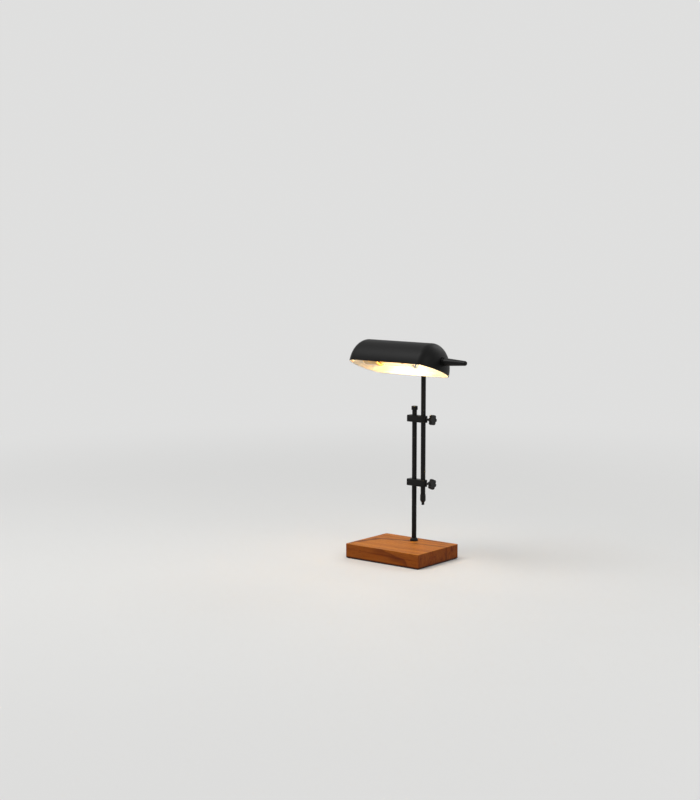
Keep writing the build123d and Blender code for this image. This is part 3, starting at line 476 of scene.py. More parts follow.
# A profile whose corners are arcs. Each corner is (along, radius, bend): the arc of radius bend
# touches both sides there, and one more point a little outside each end of it keeps flat sides
# flat under smooth shading. A corner with no bend stays a single point.
def rounded(corners, closed=False, steps=6):
    table = np.array([tuple(corner) + (0.0,) * (3 - len(corner)) for corner in corners], float)
    spot, bend = table[:, :2], table[:, 2:]
    toLast, toNext = np.roll(spot, 1, 0) - spot, np.roll(spot, -1, 0) - spot
    lastLength, nextLength = (np.linalg.norm(side, axis=1, keepdims=True) for side in (toLast, toNext))
    toLast, toNext = toLast / lastLength, toNext / nextLength
    half = np.arccos(np.clip((toLast * toNext).sum(1, keepdims=True), -0.9999, 1.0)) / 2
    bisector = toLast + toNext
    bisector /= np.maximum(np.linalg.norm(bisector, axis=1, keepdims=True), 1e-9)
    reach = bend / np.tan(half)
    centre = spot + bisector * bend / np.sin(half)
    start, end = spot + toLast * reach - centre, spot + toNext * reach - centre
    share = np.linspace(0, 1, steps + 1)[None, :, None]
    turn = (pi - 2 * half)[:, None]
    blended = np.sin((1 - share) * turn) * start[:, None] + np.sin(share * turn) * end[:, None]
    arcs = centre[:, None] + blended / np.sin(turn)
    outside = reach + 0.3 * bend
    before = spot + toLast * np.minimum(outside, lastLength)
    after = spot + toNext * np.minimum(outside, nextLength)
    rows = np.concatenate((before[:, None], arcs, after[:, None]), 1)
    isBent = bend[:, 0] > 0
    if not closed:
        isBent[[0, -1]] = False
    profile = np.concatenate([rows[k] if isBent[k] else spot[k:k + 1] for k in range(len(spot))])
    keep = np.linalg.norm(profile - np.roll(profile, 1, 0), axis=1) > 1e-6
    keep[0] = keep[0] or not closed
    return profile[keep]


# Points of an arc between two points of a profile, bulging to the left of the way by sag
def arcBetween(start, end, sag, steps):
    start, end = np.array(start, float), np.array(end, float)
    chord = end - start
    length = np.linalg.norm(chord)
    side = np.array((-chord[1], chord[0])) / length
    radius = (length ** 2 / 4 + sag ** 2) / (2 * sag)
    centre = (start + end) / 2 - side * (radius - sag)
    swing = np.arcsin(length / 2 / radius)
    angle = np.linspace(-swing, swing, steps + 1)[:, None]
    return centre + radius * (np.cos(angle) * side + np.sin(angle) * chord / length)


# A profile turned about a line: each row (along, radius) becomes a ring of points
# along * direction + radius * (cos a * first + sin a * second). shape(along, radius, a) may
# move each ring's points along the line and away from it.
def turned(line, profile, around, shape=None):
    origin, direction, first, second = line
    angle = np.arange(around)[None, :] * (2 * pi / around) + np.zeros((len(profile), 1))
    along, radius = (np.repeat(column[:, None], around, 1) for column in np.asarray(profile, float).T)
    if shape:
        along, radius = shape(along, radius, angle)
    local = np.stack((along, radius * np.cos(angle), radius * np.sin(angle)), -1)
    return origin + local @ np.array((direction, first, second))


# Faces over a grid of rows: quads from row to row and once round each row, and from the last row
# to the first where loop is set. Points that fall together are joined, so a row that is one point
# is a pole and its quads become triangles. marks gives each column's material number.
def skin(grid, loop, marks):
    rows, around = grid.shape[:2]
    number = np.arange(rows * around).reshape(rows, around)
    nextRow = np.roll(number, -1, 0)
    mark = np.zeros((rows, around), int) + marks
    if not loop:
        number, nextRow, mark = number[:-1], nextRow[:-1], mark[:-1]
    quads = np.stack((number, np.roll(number, -1, 1), np.roll(nextRow, -1, 1), nextRow), -1).reshape(-1, 4)
    mark = mark.reshape(-1)
    points = grid.reshape(-1, 3)
    _, first, joined = np.unique(np.round(points, 5), axis=0, return_index=True, return_inverse=True)
    quads = joined.reshape(-1)[quads]
    doubled = quads == np.roll(quads, -1, 1)
    whole, once = doubled.sum(1) == 0, doubled.sum(1) == 1
    order = (doubled[once].argmax(1)[:, None] + np.arange(1, 4)) % 4
    fans = np.take_along_axis(quads[once], order, 1)
    return points[first], quads[whole], fans, np.concatenate((mark[whole], mark[once]))


# Volume inside a closed skin: it is negative where the faces look inwards
def signedVolume(points, quads, fans):
    triangles = np.concatenate((quads[:, :3], quads[:, [0, 2, 3]], fans))
    a, b, c = (points[triangles[:, k]] for k in range(3))
    return (a * np.cross(b, c)).sum() / 6


# One visible piece that stands for a CAD node: the skin over a grid, facing outwards
def newPiece(name, node, grid, loop=False, marks=0, materials=None):
    points, quads, fans, marks = skin(grid, loop, marks)
    if signedVolume(points, quads, fans) < 0:
        quads, fans = quads[:, ::-1], fans[:, ::-1]
    mesh = bpy.data.meshes.new(name)
    mesh.from_pydata((points * millimetre).tolist(), [], quads.tolist() + fans.tolist())
    for material in materials or [finishes[slotOf[node]]]:
        mesh.materials.append(material)
    mesh.polygons.foreach_set("material_index", marks.astype(np.int32))
    shown(name, node, mesh)


def turnedPiece(name, node, line, profile, kind, loop=False, shape=None):
    newPiece(name, node, turned(line, profile, pointsRound[kind], shape), loop)


# A piece turned from a rounded profile, whose ends are joined where it is closed
def roundedPiece(name, node, line, kind, corners, closed=False, steps=6):
    turnedPiece(name, node, line, rounded(corners, closed, steps), kind, closed)


def shown(name, node, mesh):
    mesh.polygons.foreach_set("use_smooth", np.ones(len(mesh.polygons), bool))
    piece = newObject(name, mesh)
    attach(piece, bodyOf[node])
    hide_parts(node)
    return piece


# A copy of a CAD node whose edges are softened: its triangles are joined and flat areas are made
# one face each, then the sharp edges get a narrow round
softening = {
    "join": 0.000002,   # metres between points that are one
    "flat": 0.5,        # degrees between faces that are one
    "sharp": 32.0,      # degrees from which an edge is rounded
    "segments": 2,
}


def softened(name, node, width):
    mesh = cadNodes[node].data.copy()
    mesh.name = name
    work = bmesh.new()
    work.from_mesh(mesh)
    bmesh.ops.remove_doubles(work, verts=work.verts, dist=softening["join"])
    flat = radians(softening["flat"])
    bmesh.ops.dissolve_limit(work, angle_limit=flat, verts=work.verts, edges=work.edges)
    work.to_mesh(mesh)
    work.free()
    bevel = shown(name, node, mesh).modifiers.new("softEdges", "BEVEL")
    bevel.width = width * millimetre
    bevel.segments = softening["segments"]
    bevel.limit_method = "ANGLE"
    bevel.angle_limit = radians(softening["sharp"])
    bevel.harden_normals = True
    bevel.use_clamp_overlap = True


# Pieces that keep their CAD shape: the CAD node and the width of the round on its edges
softenedPieces = {
    "lowerClampBar": ("lower_clamp_bar", 0.45),
    "upperClampBar": ("upper_clamp_bar", 0.45),
    "lowerGrubScrew": ("lower_grub_screw", 0.12),
    "upperGrubScrew": ("upper_grub_screw", 0.12),
    "swivelRetainer": ("swivel_retainer", 0.12),
    "knuckleBarrel": ("knuckle_base", 0.3),
    "knuckleArm": ("knuckle_arm", 0.3),
    "knuckleWashers": ("knuckle_washers", 0.12),
    "armNut": ("arm_nut", 0.35),
    "armSeat": ("arm_seat_washer", 0.30),
    "armInnerWasher": ("arm_inner_washer", 0.25),
    "leadGrommet": ("lead_grommet", 0.35),
    "handleScrew": ("handle_screw", 0.15),
    "holderInsulator": ("holder_insulator", 0.30),
}
for name, (node, width) in softenedPieces.items():
    softened(name, node, width)
print("CAD shapes softened")


# A star outline: the radius at each angle of a round disc with round scallops cut into its rim,
# the corners between them eased by a soft minimum
def scallopedRadius(angle, shape):
    step = 2 * pi / shape["lobes"]
    offset = np.mod(angle - radians(shape["turn"]) + step / 2, step) - step / 2
    reach, cut, radius, ease = pick(shape, "scallopDistance scallopRadius radius ease")
    inside = cut ** 2 - (reach * np.sin(offset)) ** 2
    beyond = 1000.0
    scallop = np.where(inside > 0, reach * np.cos(offset) - np.sqrt(np.maximum(inside, 0)), beyond)
    share = np.clip(0.5 + 0.5 * (radius - scallop) / ease, 0, 1)
    nearest = scallop * share + radius * (1 - share)
    return np.minimum(nearest - ease * share * (1 - share), radius)


# A knob turned with a star outline. Each row is (along, share, inset, radius): a ring whose points
# are share * (star radius - inset) + radius away from the axis.
def starTurned(line, rows, shape, kind):
    table = np.array(rows, float)

    def star(along, radius, angle):
        share, inset, base = (column[:, None] for column in table.T[1:])
        return along, share * (scallopedRadius(angle, shape) - inset) + base

    return turned(line, table[:, [0, 3]], pointsRound[kind], star)


# Quarter of a rounded edge as rows of a star profile: from an inset of bend on a flat side to
# the rim
def roundedRim(start, bend, towards, steps=5):
    angle = np.linspace(0, pi / 2, steps + 1)
    along = start + towards * bend * (1 - np.cos(angle))
    inset = bend * (1 - np.sin(angle))
    return [(a, 1.0, i, 0.0) for a, i in zip(along, inset)]


# Plain rings of a star profile: offsets from a corner, given as (along, radius)
def plainRings(along, radius, offsets):
    return [(along + x, 0, 0, radius + r) for x, r in offsets]


# Thread on a screw: the radius dips by depth once each pitch, along a line that climbs with the
# angle, and the dips fade out over one pitch at both ends
def threadShape(screw, start, end):
    pitch, depth = pick(screw, "pitch depth")

    def shape(along, radius, angle):
        wave = 0.5 - 0.5 * np.cos(2 * pi * along / pitch - angle)
        fade = np.clip((along - start) / pitch, 0, 1) * np.clip((end - along) / pitch, 0, 1)
        return along, radius - depth * wave * fade * (radius > 0)
    return shape


# Base: the fixed post with its stud, the collar at its foot and the cap on its top
postShape = {
    "studEnd": 2.0,
    "studRadius": 4.0,
    "radius": 5.0,
    "top": 311.5,
    "collarFoot": 8.6,
    "collarNeck": 6.4,
    "collarBore": 5.1,
    "collarFootHeight": 1.4,
    "collarHeight": 6.0,
    "collarSag": 0.345,
    "capRadius": 6.6,
    "capBore": 5.05,
    "capBottom": 306.5,
    "capTop": 314.5,
    "capEdge": 1.3,
}


def makeFixedPost(shape):
    line = uprightLine(layout["fixedX"])
    foot = layout["baseTop"]
    stud, studRadius, top, radius = pick(shape, "studEnd studRadius top radius")
    roundedPiece("fixedPost", "stand_post", line, "rod", [
        (stud, 0), (stud, studRadius, 0.5), (foot, studRadius, 0.1), (foot, radius, 0.15),
        (top, radius, 0.3), (top, 0),
    ])
    bore, wide, neck, rim = pick(shape, "collarBore collarFoot collarNeck collarHeight")
    flareEnd = (foot + rim - 0.35, neck + 0.15)
    flare = arcBetween((foot + shape["collarFootHeight"], wide), flareEnd, shape["collarSag"], 12)
    roundedPiece("postCollar", "post_collar", line, "fitting", [
        (foot, bore, 0.1), (foot, wide, 0.3), *flare,
        (foot + rim, neck - 0.25, 0.2), (foot + rim, bore, 0.2),
    ], closed=True)
    bore, wide, bottom, roof = pick(shape, "capBore capRadius capBottom capTop")
    roundedPiece("postCap", "post_cap", line, "fitting", [
        (top, 0), (top, bore, 0.3), (bottom, bore, 0.25),
        (bottom, wide, 0.5), (roof, wide, shape["capEdge"]), (roof, 0),
    ])


makeFixedPost(postShape)

# Clamps: each bar's height and the way its knob is turned, the knobs and their threaded screws
clamps = {
    "lower": (154.5, 8.0),
    "upper": (288.5, 22.0),
}
knobShape = {
    "radius": 11.0,
    "lobes": 6,
    "scallopRadius": 3.6,
    "scallopDistance": 12.3,
    "ease": 0.75,
    "neckX": 38.0,
    "neckRadius": 4.2,
    "neckEdge": ((0, -0.35), (0.1, -0.1), (0.35, 0.1)),
    "coneGap": 0.7,
    "hubEdge": ((-0.25, 0.1), (-0.05, 0.45), (0, 0.9)),
    "backX": 42.0,
    "hubRadius": 6.0,
    "boreRadius": 2.55,
    "boreEnd": 44.0,
    "frontX": 49.5,
    "backBend": 0.8,
    "frontBend": 1.1,
    "rimGap": 0.3,
    "dish": 0.35,
    "dishShare": 0.92,
    "dishSteepness": 4,
}
clampScrew = {
    "tip": 27.8,
    "end": 44.0,
    "radius": 2.5,
    "chamfer": 0.6,
    "pitch": 0.8,
    "depth": 0.30,
    "rowsPerPitch": 9,
}


def makeKnob(name, node, height, turn, shape):
    shape = {**shape, "turn": turn}
    back, front, backBend, bend, gap = pick(shape, "backX frontX backBend frontBend rimGap")
    neck, neckRadius, hub, bore, boreEnd = pick(shape, "neckX neckRadius hubRadius boreRadius boreEnd")
    rows = [(boreEnd, 0, 0, 0), (boreEnd, 0, 0, bore), (neck, 0, 0, bore)]
    rows += plainRings(neck, neckRadius, shape["neckEdge"])
    cone = np.linspace(neck + shape["coneGap"], back - shape["coneGap"], 5)
    rows += [(x, 0, 0, neckRadius + (hub - neckRadius) * (x - neck) / (back - neck)) for x in cone]
    rows += plainRings(back, hub, shape["hubEdge"])
    rows += roundedRim(back, backBend, 1)
    rows += [(x, 1, 0, 0) for x in np.linspace(back + backBend + gap, front - bend - gap, 5)]
    rows += roundedRim(front, bend, -1)[::-1]
    # The front is dished: it sinks quickly inside its edge and slowly towards the middle
    edge, steepness = shape["dishShare"], shape["dishSteepness"]
    for share in np.linspace(edge, 0, 8):
        sink = shape["dish"] * (1 - share) ** 0.5 * min(1, steepness * (edge - share))
        rows.append((front - sink, share, bend, 0))
    newPiece(name, node, starTurned(sidewaysLine(height), rows, shape, "knob"))


def makeClampScrew(name, node, height, shape):
    tip, end, radius, chamfer = pick(shape, "tip end radius chamfer")
    steps = int((end - tip) / shape["pitch"] * shape["rowsPerPitch"])
    rows = np.concatenate((
        [(tip, 0), (tip, radius - chamfer)],
        np.linspace((tip + chamfer, radius), (end - 0.3, radius), steps + 1),
        [(end, radius - 0.3), (end, 0)],
    ))
    thread = threadShape(shape, tip + chamfer, end)
    turnedPiece(name, node, sidewaysLine(height), rows, "screw", shape=thread)


for side, (height, turn) in clamps.items():
    makeClampScrew(side + "ClampScrew", side + "_clamp_screw", height, clampScrew)
    makeKnob(side + "ClampKnob", side + "_clamp_knob", height, turn, knobShape)
print("stand and clamps made")

# Sliding post: a tube with a groove near its top, and its end cap with the lead's nozzle
tubeShape = {
    "bottom": 120.5,
    "top": 386.0,
    "radius": 5.0,
    "bore": 3.5,
    "groove": (380.8, 383.2),
    "grooveRadius": 4.3,
    "capTop": 130.5,
    "capRadius": 5.8,
    "capBore": 5.05,
    "coneTop": 118.5,
    "coneBottom": 114.1,
    "nozzleEnd": 109.1,
    "nozzleRadius": 3.0,
    "leadHole": 2.3,
}


def makeSlidingPost(shape):
    line = uprightLine(layout["slideX"])
    low, high = shape["groove"]
    bottom, top, radius, bore = pick(shape, "bottom top radius bore")
    roundedPiece("slidingPost", "sliding_post", line, "rod", [
        (bottom, bore, 0.2), (bottom, radius, 0.2),
        (low, radius, 0.1), (low, shape["grooveRadius"], 0.1), (high, shape["grooveRadius"], 0.1),
        (high, radius, 0.1), (top, radius, 0.3), (top, bore, 0.2),
    ], closed=True)
    roof, wide, bore, nozzle, hole = pick(shape, "capTop capRadius capBore nozzleRadius leadHole")
    coneTop, coneBottom, end = pick(shape, "coneTop coneBottom nozzleEnd")
    roundedPiece("leadOutletCap", "cord_end_cap", line, "fitting", [
        (roof, bore, 0.15), (roof, wide, 0.3), (coneTop, wide, 0.8), (coneBottom, nozzle, 0.5),
        (end, nozzle, 0.3), (end, hole, 0.2), (bottom, hole, 0.2), (bottom, bore, 0.2),
    ], closed=True)


makeSlidingPost(tubeShape)

# Knuckle: its pin and its ribbed thumb nut
knuckleShape = {
    "headEnd": -11.4,     # along X from the pivot
    "headStart": -8.2,
    "headRadius": 4.6,
    "headBend": 1.07,
    "pinRadius": 2.5,
    "pinEnd": 15.7,
    "nutStart": 8.2,
    "nutHubRadius": 5.2,
    "nutHubEnd": 10.2,
    "nutEnd": 17.2,
    "nutBore": 2.56,
    "backEdge": ((0, -0.3), (0.1, -0.1), (0.3, 0)),
    "ribEdge": ((-0.3, 0), (-0.08, 0.1), (0, 0.3)),
    "ribBends": (0.5, 0.6),
    "ribGaps": (0.7, 0.8),
    "frontRings": ((0, 6.3), (-0.5, 5.7), (-0.5, 4.2), (-0.1, 3.8)),
    "boreEdge": ((-0.1, 0.2), (-0.3, 0)),
}
thumbNutStar = {
    "radius": 8.0,
    "lobes": 16,
    "scallopRadius": 0.9,
    "scallopDistance": 8.3,
    "ease": 0.3,
    "turn": 0.0,
}


def makeKnuckle(shape, star):
    line = (pivot, acrossX, acrossY, upward)
    back, front, head, radius = pick(shape, "headEnd headStart headRadius pinRadius")
    roundedPiece("knucklePin", "knuckle_pin", line, "pin", [
        (back, 0), (back, head, shape["headBend"]), (front, head, 0.2), (front, radius, 0.1),
        (shape["pinEnd"], radius, 0.4), (shape["pinEnd"], 0),
    ])
    start, hub, hubEnd, end, bore = pick(shape, "nutStart nutHubRadius nutHubEnd nutEnd nutBore")
    backBend, frontBend = shape["ribBends"]
    backGap, frontGap = shape["ribGaps"]
    rows = [(start, 0, 0, bore)] + plainRings(start, hub, shape["backEdge"])
    rows += plainRings(hubEnd, hub, shape["ribEdge"]) + roundedRim(hubEnd, backBend, 1)
    rows += [(hubEnd + backGap, 1, 0, 0), (end - frontGap, 1, 0, 0)] + roundedRim(end, frontBend, -1)[::-1]
    rows += plainRings(end, 0, shape["frontRings"]) + plainRings(end, bore, shape["boreEdge"])
    newPiece("thumbNut", "knuckle_thumb_nut", starTurned(line, rows, star, "thumbNut"), loop=True)


makeKnuckle(knuckleShape, thumbNutStar)
print("posts and knuckle made")

# Shade: a half turn of a rounded outline about X, a short skirt, a folded hem, and the inside, black
# outside and white inside
shadeShape = {
    "radius": 53.0,
    "straight": 156.0,
    "bulge": 29.0,
    "skirt": 3.0,
    "wall": 1.0,
    "hem": 1.8,
    "hemLip": 0.2,
    "hemDepth": 0.4,
    "blackTurn": 1.7,     # radians round the hem that are black
    "endShare": 0.3,
    "lengthwise": 129,
    "turns": 65,
}
shadeFinishes = [grained["blackEnamel"], grained["whiteEnamel"]]


# Half outline of the shade seen from above, as x and half width: a quarter ellipse, a straight run
# and a quarter ellipse. share runs from 0 at the left pole to 1 at the right pole.
def shadeOutline(shape, inset, share):
    half, quarter = shape["straight"] / 2, shape["endShare"]
    bulge, wide = shape["bulge"] - inset, shape["radius"] - inset
    left, right = share < quarter, share > 1 - quarter
    angle = np.where(left, share / quarter, np.where(right, (1 - share) / quarter, 1.0)) * pi / 2
    run = (share - quarter) / (1 - 2 * quarter) * 2 * half - half
    x = np.where(left, -half - bulge * np.cos(angle), np.where(right, half + bulge * np.cos(angle), run))
    return x, wide * np.sin(angle)


# x at which the right end's ellipsoid is met, from a point's distances behind and above the middle
# of the rim plane
def domeEnd(across, height):
    away = (across ** 2 + height ** 2) / shadeShape["radius"] ** 2
    return shadeShape["straight"] / 2 + shadeShape["bulge"] * np.sqrt(1 - away)


# A ring that sits on one of the shade's ends, side 1 at the right and -1 at the left. It is flat and
# rounded at face, and its back follows the dome, with a circle of points at each radius of rings.
domeRing = {
    "backMark": 9.0,      # beyond the dome: points there are moved onto it
    "movedFrom": 3.1,
    "edgeKept": 1.2,
    "boreEdge": 0.2,
    "rimEdge": 0.7,
}


def makeDomeRing(name, node, side, height, face, bore, rings, shape):
    back, radius = face - side * shape["backMark"], rings[0]

    def onDome(along, distance, angle):
        dome = side * domeEnd(distance * np.cos(angle), height + distance * np.sin(angle))
        return np.where(side * (face - along) > shape["movedFrom"], dome, along), distance

    front = rounded([
        (back, bore), (face, bore, shape["boreEdge"]), (face, radius, shape["rimEdge"]), (back, radius),
    ])
    front = front[side * (face - front[:, 0]) < shape["edgeKept"]]
    profile = np.concatenate(([(back, bore)], front, [(back, ring) for ring in rings]))
    turnedPiece(name, node, shadeLine(height), profile, "fitting", loop=True, shape=onDome)


# Each row is one section: over the dome from front to rear, down the rear skirt and round its hem,
# back under the dome, and round the front hem. A point of it is x and side * width,
# rise * width + drop.
def makeShade(shape):
    angle = np.linspace(0, pi, shape["turns"])
    bend = np.linspace(0, pi, 9)[1:]
    skirt, hem, wall, lip, depth = pick(shape, "skirt hem wall hemLip hemDepth")
    fold = hem / 2
    hemInset = np.concatenate(([0, 0], fold - fold * np.cos(bend), [hem, hem - lip]))
    skirtDrop = [(fold - skirt) / 2, fold - skirt]
    hemDrop = np.concatenate((skirtDrop, fold - skirt - fold * np.sin(bend), [-depth, 0.0]))
    hemBlack = np.concatenate((np.ones(2), bend < shape["blackTurn"], np.zeros(2)))
    one = np.ones(len(hemInset))
    inset = np.concatenate((0 * angle, hemInset, 0 * angle + wall, hemInset[::-1]))
    side = np.concatenate((-np.cos(angle), one, np.cos(angle), -one))
    rise = np.concatenate((np.sin(angle), 0 * one, np.sin(angle), 0 * one))
    drop = np.concatenate((0 * angle, hemDrop, 0 * angle, hemDrop[::-1]))
    # A face takes the mark of the point before it, so the front hem's marks are moved on by one
    black = np.concatenate((angle * 0 + 1, hemBlack, angle * 0, hemBlack[-2::-1], [1]))
    share = np.linspace(0, 1, shape["lengthwise"])[:, None]
    x, width = shadeOutline(shape, inset[None, :], share)
    steps = zip((x, side * width, rise * width + drop), (acrossX, shadeBack, shadeUp))
    points = archCentre + sum(step[..., None] * way for step, way in steps)
    marks = 1 - black.astype(int)[None, :]
    newPiece("shadeShell", "shade_shell", points, marks=marks, materials=shadeFinishes)


makeShade(shadeShape)

# Handle: a tapered grip with a rounded end, and a collar that follows the dome
handleShape = {
    "collarRings": (9.6, 7.3, 5.0),
    "collarThickness": 3.2,
    "collarBore": 2.6,
    "length": 53.0,
    "rootRadius": 8.0,
    "rootLength": 2.0,
    "rootBend": 6.0,
    "tipRadius": 4.9,
    "tipRoundness": 0.985,
    "bore": 2.55,
    "boreDepth": 18.0,
}


def makeHandle(shape):
    height = layout["handleHeight"]
    start = domeEnd(0.0, height) + shape["collarThickness"]
    ring = pick(shape, "collarBore collarRings")
    makeDomeRing("handleCollar", "handle_collar", 1, height, start, *ring, domeRing)
    bore, depth, length, root, wide, narrow = pick(
        shape, "bore boreDepth length rootLength rootRadius tipRadius")
    boreEnd, end = start + depth, start + length
    taper = (wide - narrow) / (length - root - narrow)
    roundedPiece("shadeHandle", "shade_handle", shadeLine(height), "fitting", [
        (boreEnd, 0), (boreEnd, bore), (start, bore, 0.2), (start, wide, 0.5),
        (start + root, wide, shape["rootBend"]),
        (end, narrow - taper * narrow, narrow * (1 - taper) * shape["tipRoundness"]), (end, 0),
    ], steps=14)


makeHandle(handleShape)

# Lamp holder: acorn nut and shaped washer outside, porcelain shell inside
holderShape = {
    "washerRings": (9.0, 7.6),
    "washerThickness": 4.2,
    "washerBore": 5.1,
    "nutRadius": 7.2,
    "nutHeight": 9.0,
    "nutBend": 4.0,
    "nutRoof": 2.5,
    "nutBore": 5.05,
    "shellBack": 9.6,
    "shellStep": 4.6,
    "shellDome": 14.0,
    "shellRadius": 20.0,
    "shellWall": 2.6,
    "shellLength": 50.0,
    "domeSag": 1.513,
    "lipHeight": 1.2,
    "lipLength": 5.0,
    "shellBore": 5.05,
}


def makeHolder(shape):
    height = layout["holderHeight"]
    line = shadeLine(height)
    wallX = domeEnd(0.0, height)
    seat = -wallX - shape["washerThickness"]
    high, radius, bore, bend, roof = pick(shape, "nutHeight nutRadius nutBore nutBend nutRoof")
    end = seat - high
    roundedPiece("holderNut", "holder_cap_nut", line, "fitting", [
        (end + roof, 0), (end + roof, bore, 0.3), (seat, bore, 0.2), (seat, radius, 0.3),
        (end, radius, bend), (end, 0),
    ], steps=10)
    ring = pick(shape, "washerBore washerRings")
    makeDomeRing("holderWasher", "holder_outer_washer", -1, height, seat, *ring, domeRing)
    back = shadeShape["wall"] - wallX + shape["washerThickness"]
    waist, step, bore, radius, wall = pick(shape, "shellBack shellStep shellBore shellRadius shellWall")
    inside, lip = radius - wall, shape["lipHeight"]
    mouth, dome = back + shape["shellLength"], back + shape["shellDome"]
    lipStart = mouth - shape["lipLength"]
    bulge = arcBetween((back + step, waist), (dome, radius), shape["domeSag"], 16)
    roundedPiece("holderShell", "holder_shell", line, "bulb", [
        (back, bore, 0.3), (back, waist, 0.8), *bulge, (lipStart, radius, 0.8),
        (lipStart + lip, radius + lip, 0.6), (mouth - lip, radius + lip, 0.8), (mouth, radius, 0.6),
        (mouth, inside, 0.5), (dome, inside, 1.2), (dome, bore, 0.3),
    ], closed=True)


makeHolder(holderShape)

# Tubular bulb glass: a neck, a smooth shoulder, a straight body and a round end. The profile goes
# from the outer tip to the neck and back inside the wall.
bulbShape = {
    "neckStart": -56.51,
    "neckEnd": -50.51,
    "neckRadius": 12.4,
    "shoulder": 12.0,
    "radius": 19.0,
    "tip": 35.49,
    "wall": 1.0,
}


def makeBulbGlass(shape):
    def side(inset):
        radius, neck = shape["radius"] - inset, shape["neckRadius"] - inset
        angle = np.linspace(0, pi / 2, 19)
        centre = shape["tip"] - shape["radius"]
        end = np.stack((centre + radius * np.cos(angle), radius * np.sin(angle)), -1)
        share = np.linspace(1, 0, 15)
        along = shape["neckEnd"] + shape["shoulder"] * share
        shoulder = np.stack((along, neck + (radius - neck) * share ** 2 * (3 - 2 * share)), -1)
        return np.concatenate((end, shoulder, [(shape["neckStart"], neck)]))

    profile = np.concatenate((side(0.0), side(shape["wall"])[::-1]))
    profile[np.abs(profile[:, 1]) < 1e-9, 1] = 0.0
    line = shadeLine(layout["holderHeight"])
    turnedPiece("bulbGlass", "bulb_glass", line, profile, "bulb")


makeBulbGlass(bulbShape)

# Screw cap of the bulb and the holder's sleeve round it, rolled with the same round thread
screwShape = {
    "pitch": 3.6,
    "depth": 0.85,
    "threadEnd": -57.0,
    "capStart": -72.51,
    "capEnd": -50.51,
    "capFloor": 9.5,
    "capRadius": 13.3,
    "capWall": 0.6,
    "capPoints": 67,
    "sleeveStart": -79.31,
    "sleeveEnd": -53.31,
    "sleeveRadius": 14.4,
    "sleeveWall": 0.7,
    "sleevePoints": 79,
}


def makeScrewCap(shape):
    line = shadeLine(layout["holderHeight"])
    start, end, radius, wall = pick(shape, "capStart capEnd capRadius capWall")
    floor, wide, inner = shape["capFloor"], start + radius - shape["capFloor"], radius - wall
    cap = np.concatenate((
        [(start, 0), (start, floor - 0.3), (start + 0.2, floor + 0.1)],
        np.linspace((wide, radius), (end, radius), shape["capPoints"]),
        np.linspace((end, inner), (wide, inner), shape["capPoints"]),
        [(start + wall + 0.1, floor - wall / 2), (start + wall, floor - 0.6), (start + wall, 0)],
    ))
    thread = threadShape(shape, start, shape["threadEnd"])
    turnedPiece("bulbScrewCap", "bulb_cap", line, cap, "cap", shape=thread)
    start, end, radius, wall = pick(shape, "sleeveStart sleeveEnd sleeveRadius sleeveWall")
    inner = radius - wall
    sleeve = np.concatenate((
        np.linspace((start, radius), (end, radius), shape["sleevePoints"]),
        np.linspace((end, inner), (start, inner), shape["sleevePoints"]),
    ))
    thread = threadShape(shape, start, shape["threadEnd"])
    turnedPiece("holderSleeve", "holder_sleeve", line, sleeve, "cap", loop=True, shape=thread)


makeScrewCap(screwShape)
print("shade, handle and holder made")

# Floor, light and background. Lengths are in metres and powers in watts.
stageLook = {
    "floorReach": 12.0,
    "floorRoughness": 0.6,
    "floorSpecular": 0.3,
    "mottlePerMetre": 6.0,
    "mottleTint": 0.985,
    "floorColour": (0.80, 0.80, 0.79),
    "background": (0.74, 0.74, 0.735),
    "fadeStart": 0.35,
    "fadeEnd": 2.2,
    "worldStrength": 0.5,
    "clearPatch": (0.0905, 0.0670),
    "lightTarget": (0, 0, 0.2),
}
studioLights = {
    "keyLight": ((-0.9, -1.2, 2.5), 1.4, 38),
    "fillLight": ((2.2, -0.6, 1.5), 1.2, 12),
    "backLight": ((0.4, 2.2, 1.9), 1.4, 14),
}


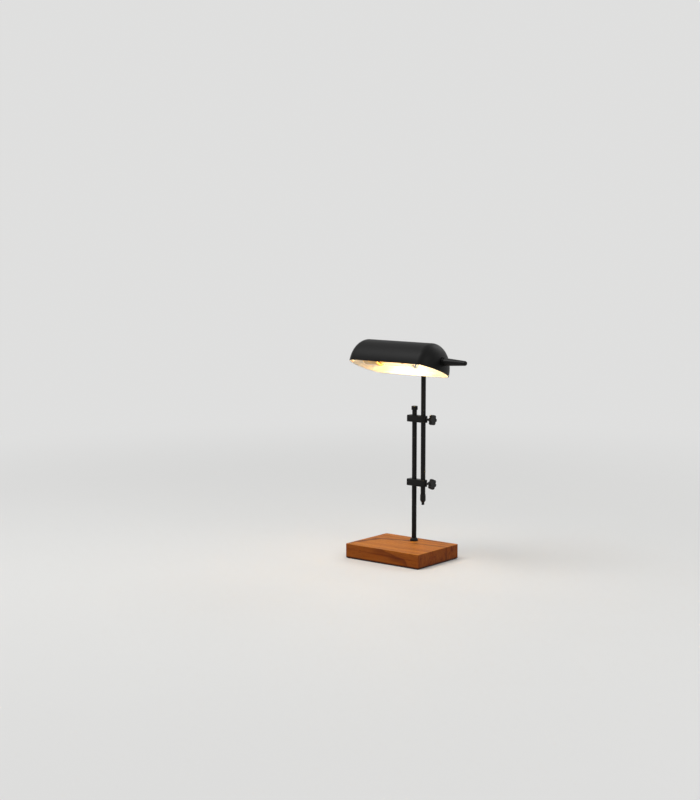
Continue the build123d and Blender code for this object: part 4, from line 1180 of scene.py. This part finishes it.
def makeFloor(look):
    mesh = bpy.data.meshes.new("floor")
    reach = look["floorReach"]
    corners = [(-reach, -reach, 0), (reach, -reach, 0), (reach, reach, 0), (-reach, reach, 0)]
    mesh.from_pydata(corners, [], [(0, 1, 2, 3)])
    floor = newObject("floor", mesh)
    sockets = {"Roughness": look["floorRoughness"], "Specular IOR Level": look["floorSpecular"]}
    material, tree, shader = newMaterial("floor", sockets)
    point = place(tree)
    mottle = noise(tree, point, look["mottlePerMetre"], 3.0)
    tinted = [part * look["mottleTint"] for part in look["floorColour"]]
    setInputs(tree, shader, {"Base Color": mixColour(tree, mottle, look["floorColour"], tinted)})
    distance = vector(tree, "LENGTH", point, output="Value")
    far = rescale(tree, distance, look["fadeStart"], look["fadeEnd"], smooth=True)
    rays = addNode(tree, "LightPath").outputs
    seen = math(tree, "MAXIMUM", rays["Is Camera Ray"], rays["Is Glossy Ray"])
    fade = times(tree, far, seen)
    glow = addNode(tree, "Emission", {"Color": look["background"], "Strength": 1.0}).outputs[0]
    faded = addNode(tree, "MixShader", {0: fade, 1: shader.outputs[0], 2: glow}).outputs[0]
    # Clear from below, and under the base, so that views from underneath show the pad in the light
    below = addNode(tree, "NewGeometry").outputs["Backfacing"]
    patch = vector(tree, "DIVIDE", vector(tree, "ABSOLUTE", point), (*look["clearPatch"], 1))
    parts = addNode(tree, "SeparateXYZ", {0: patch}).outputs
    underBase = math(tree, "LESS_THAN", math(tree, "MAXIMUM", parts[0], parts[1]), 1.0)
    clear = addNode(tree, "BsdfTransparent").outputs[0]
    seeThrough = math(tree, "MAXIMUM", below, underBase)
    both = addNode(tree, "MixShader", {0: seeThrough, 1: faded, 2: clear}).outputs[0]
    tree.links.new(both, tree.nodes["Material Output"].inputs["Surface"])
    mesh.materials.append(material)


def makeWorld(look):
    world = bpy.data.worlds.new("studio")
    bpy.context.scene.world = world
    world.use_nodes = True
    tree = world.node_tree
    rays = addNode(tree, "LightPath").outputs
    direct = math(tree, "MAXIMUM", rays["Is Camera Ray"], rays["Is Transmission Ray"])
    seen = math(tree, "MAXIMUM", direct, rays["Is Glossy Ray"])
    strength = rescale(tree, seen, 0.0, 1.0, look["worldStrength"], 1.0)
    setInputs(tree, tree.nodes["Background"], {"Color": look["background"], "Strength": strength})


def areaLight(name, location, size, power, target):
    data = bpy.data.lights.new(name, "AREA")
    data.shape = "SQUARE"
    data.size = size
    data.energy = power
    light = newObject(name, data)
    turn = (Vector(target) - Vector(location)).to_track_quat("-Z", "Y")
    light.matrix_world = Matrix.LocRotScale(location, turn, None)


makeFloor(stageLook)
makeWorld(stageLook)
for name, (location, size, power) in studioLights.items():
    areaLight(name, location, size, power, stageLook["lightTarget"])
bpy.context.scene.view_settings.view_transform = "Standard"
print("stage made")
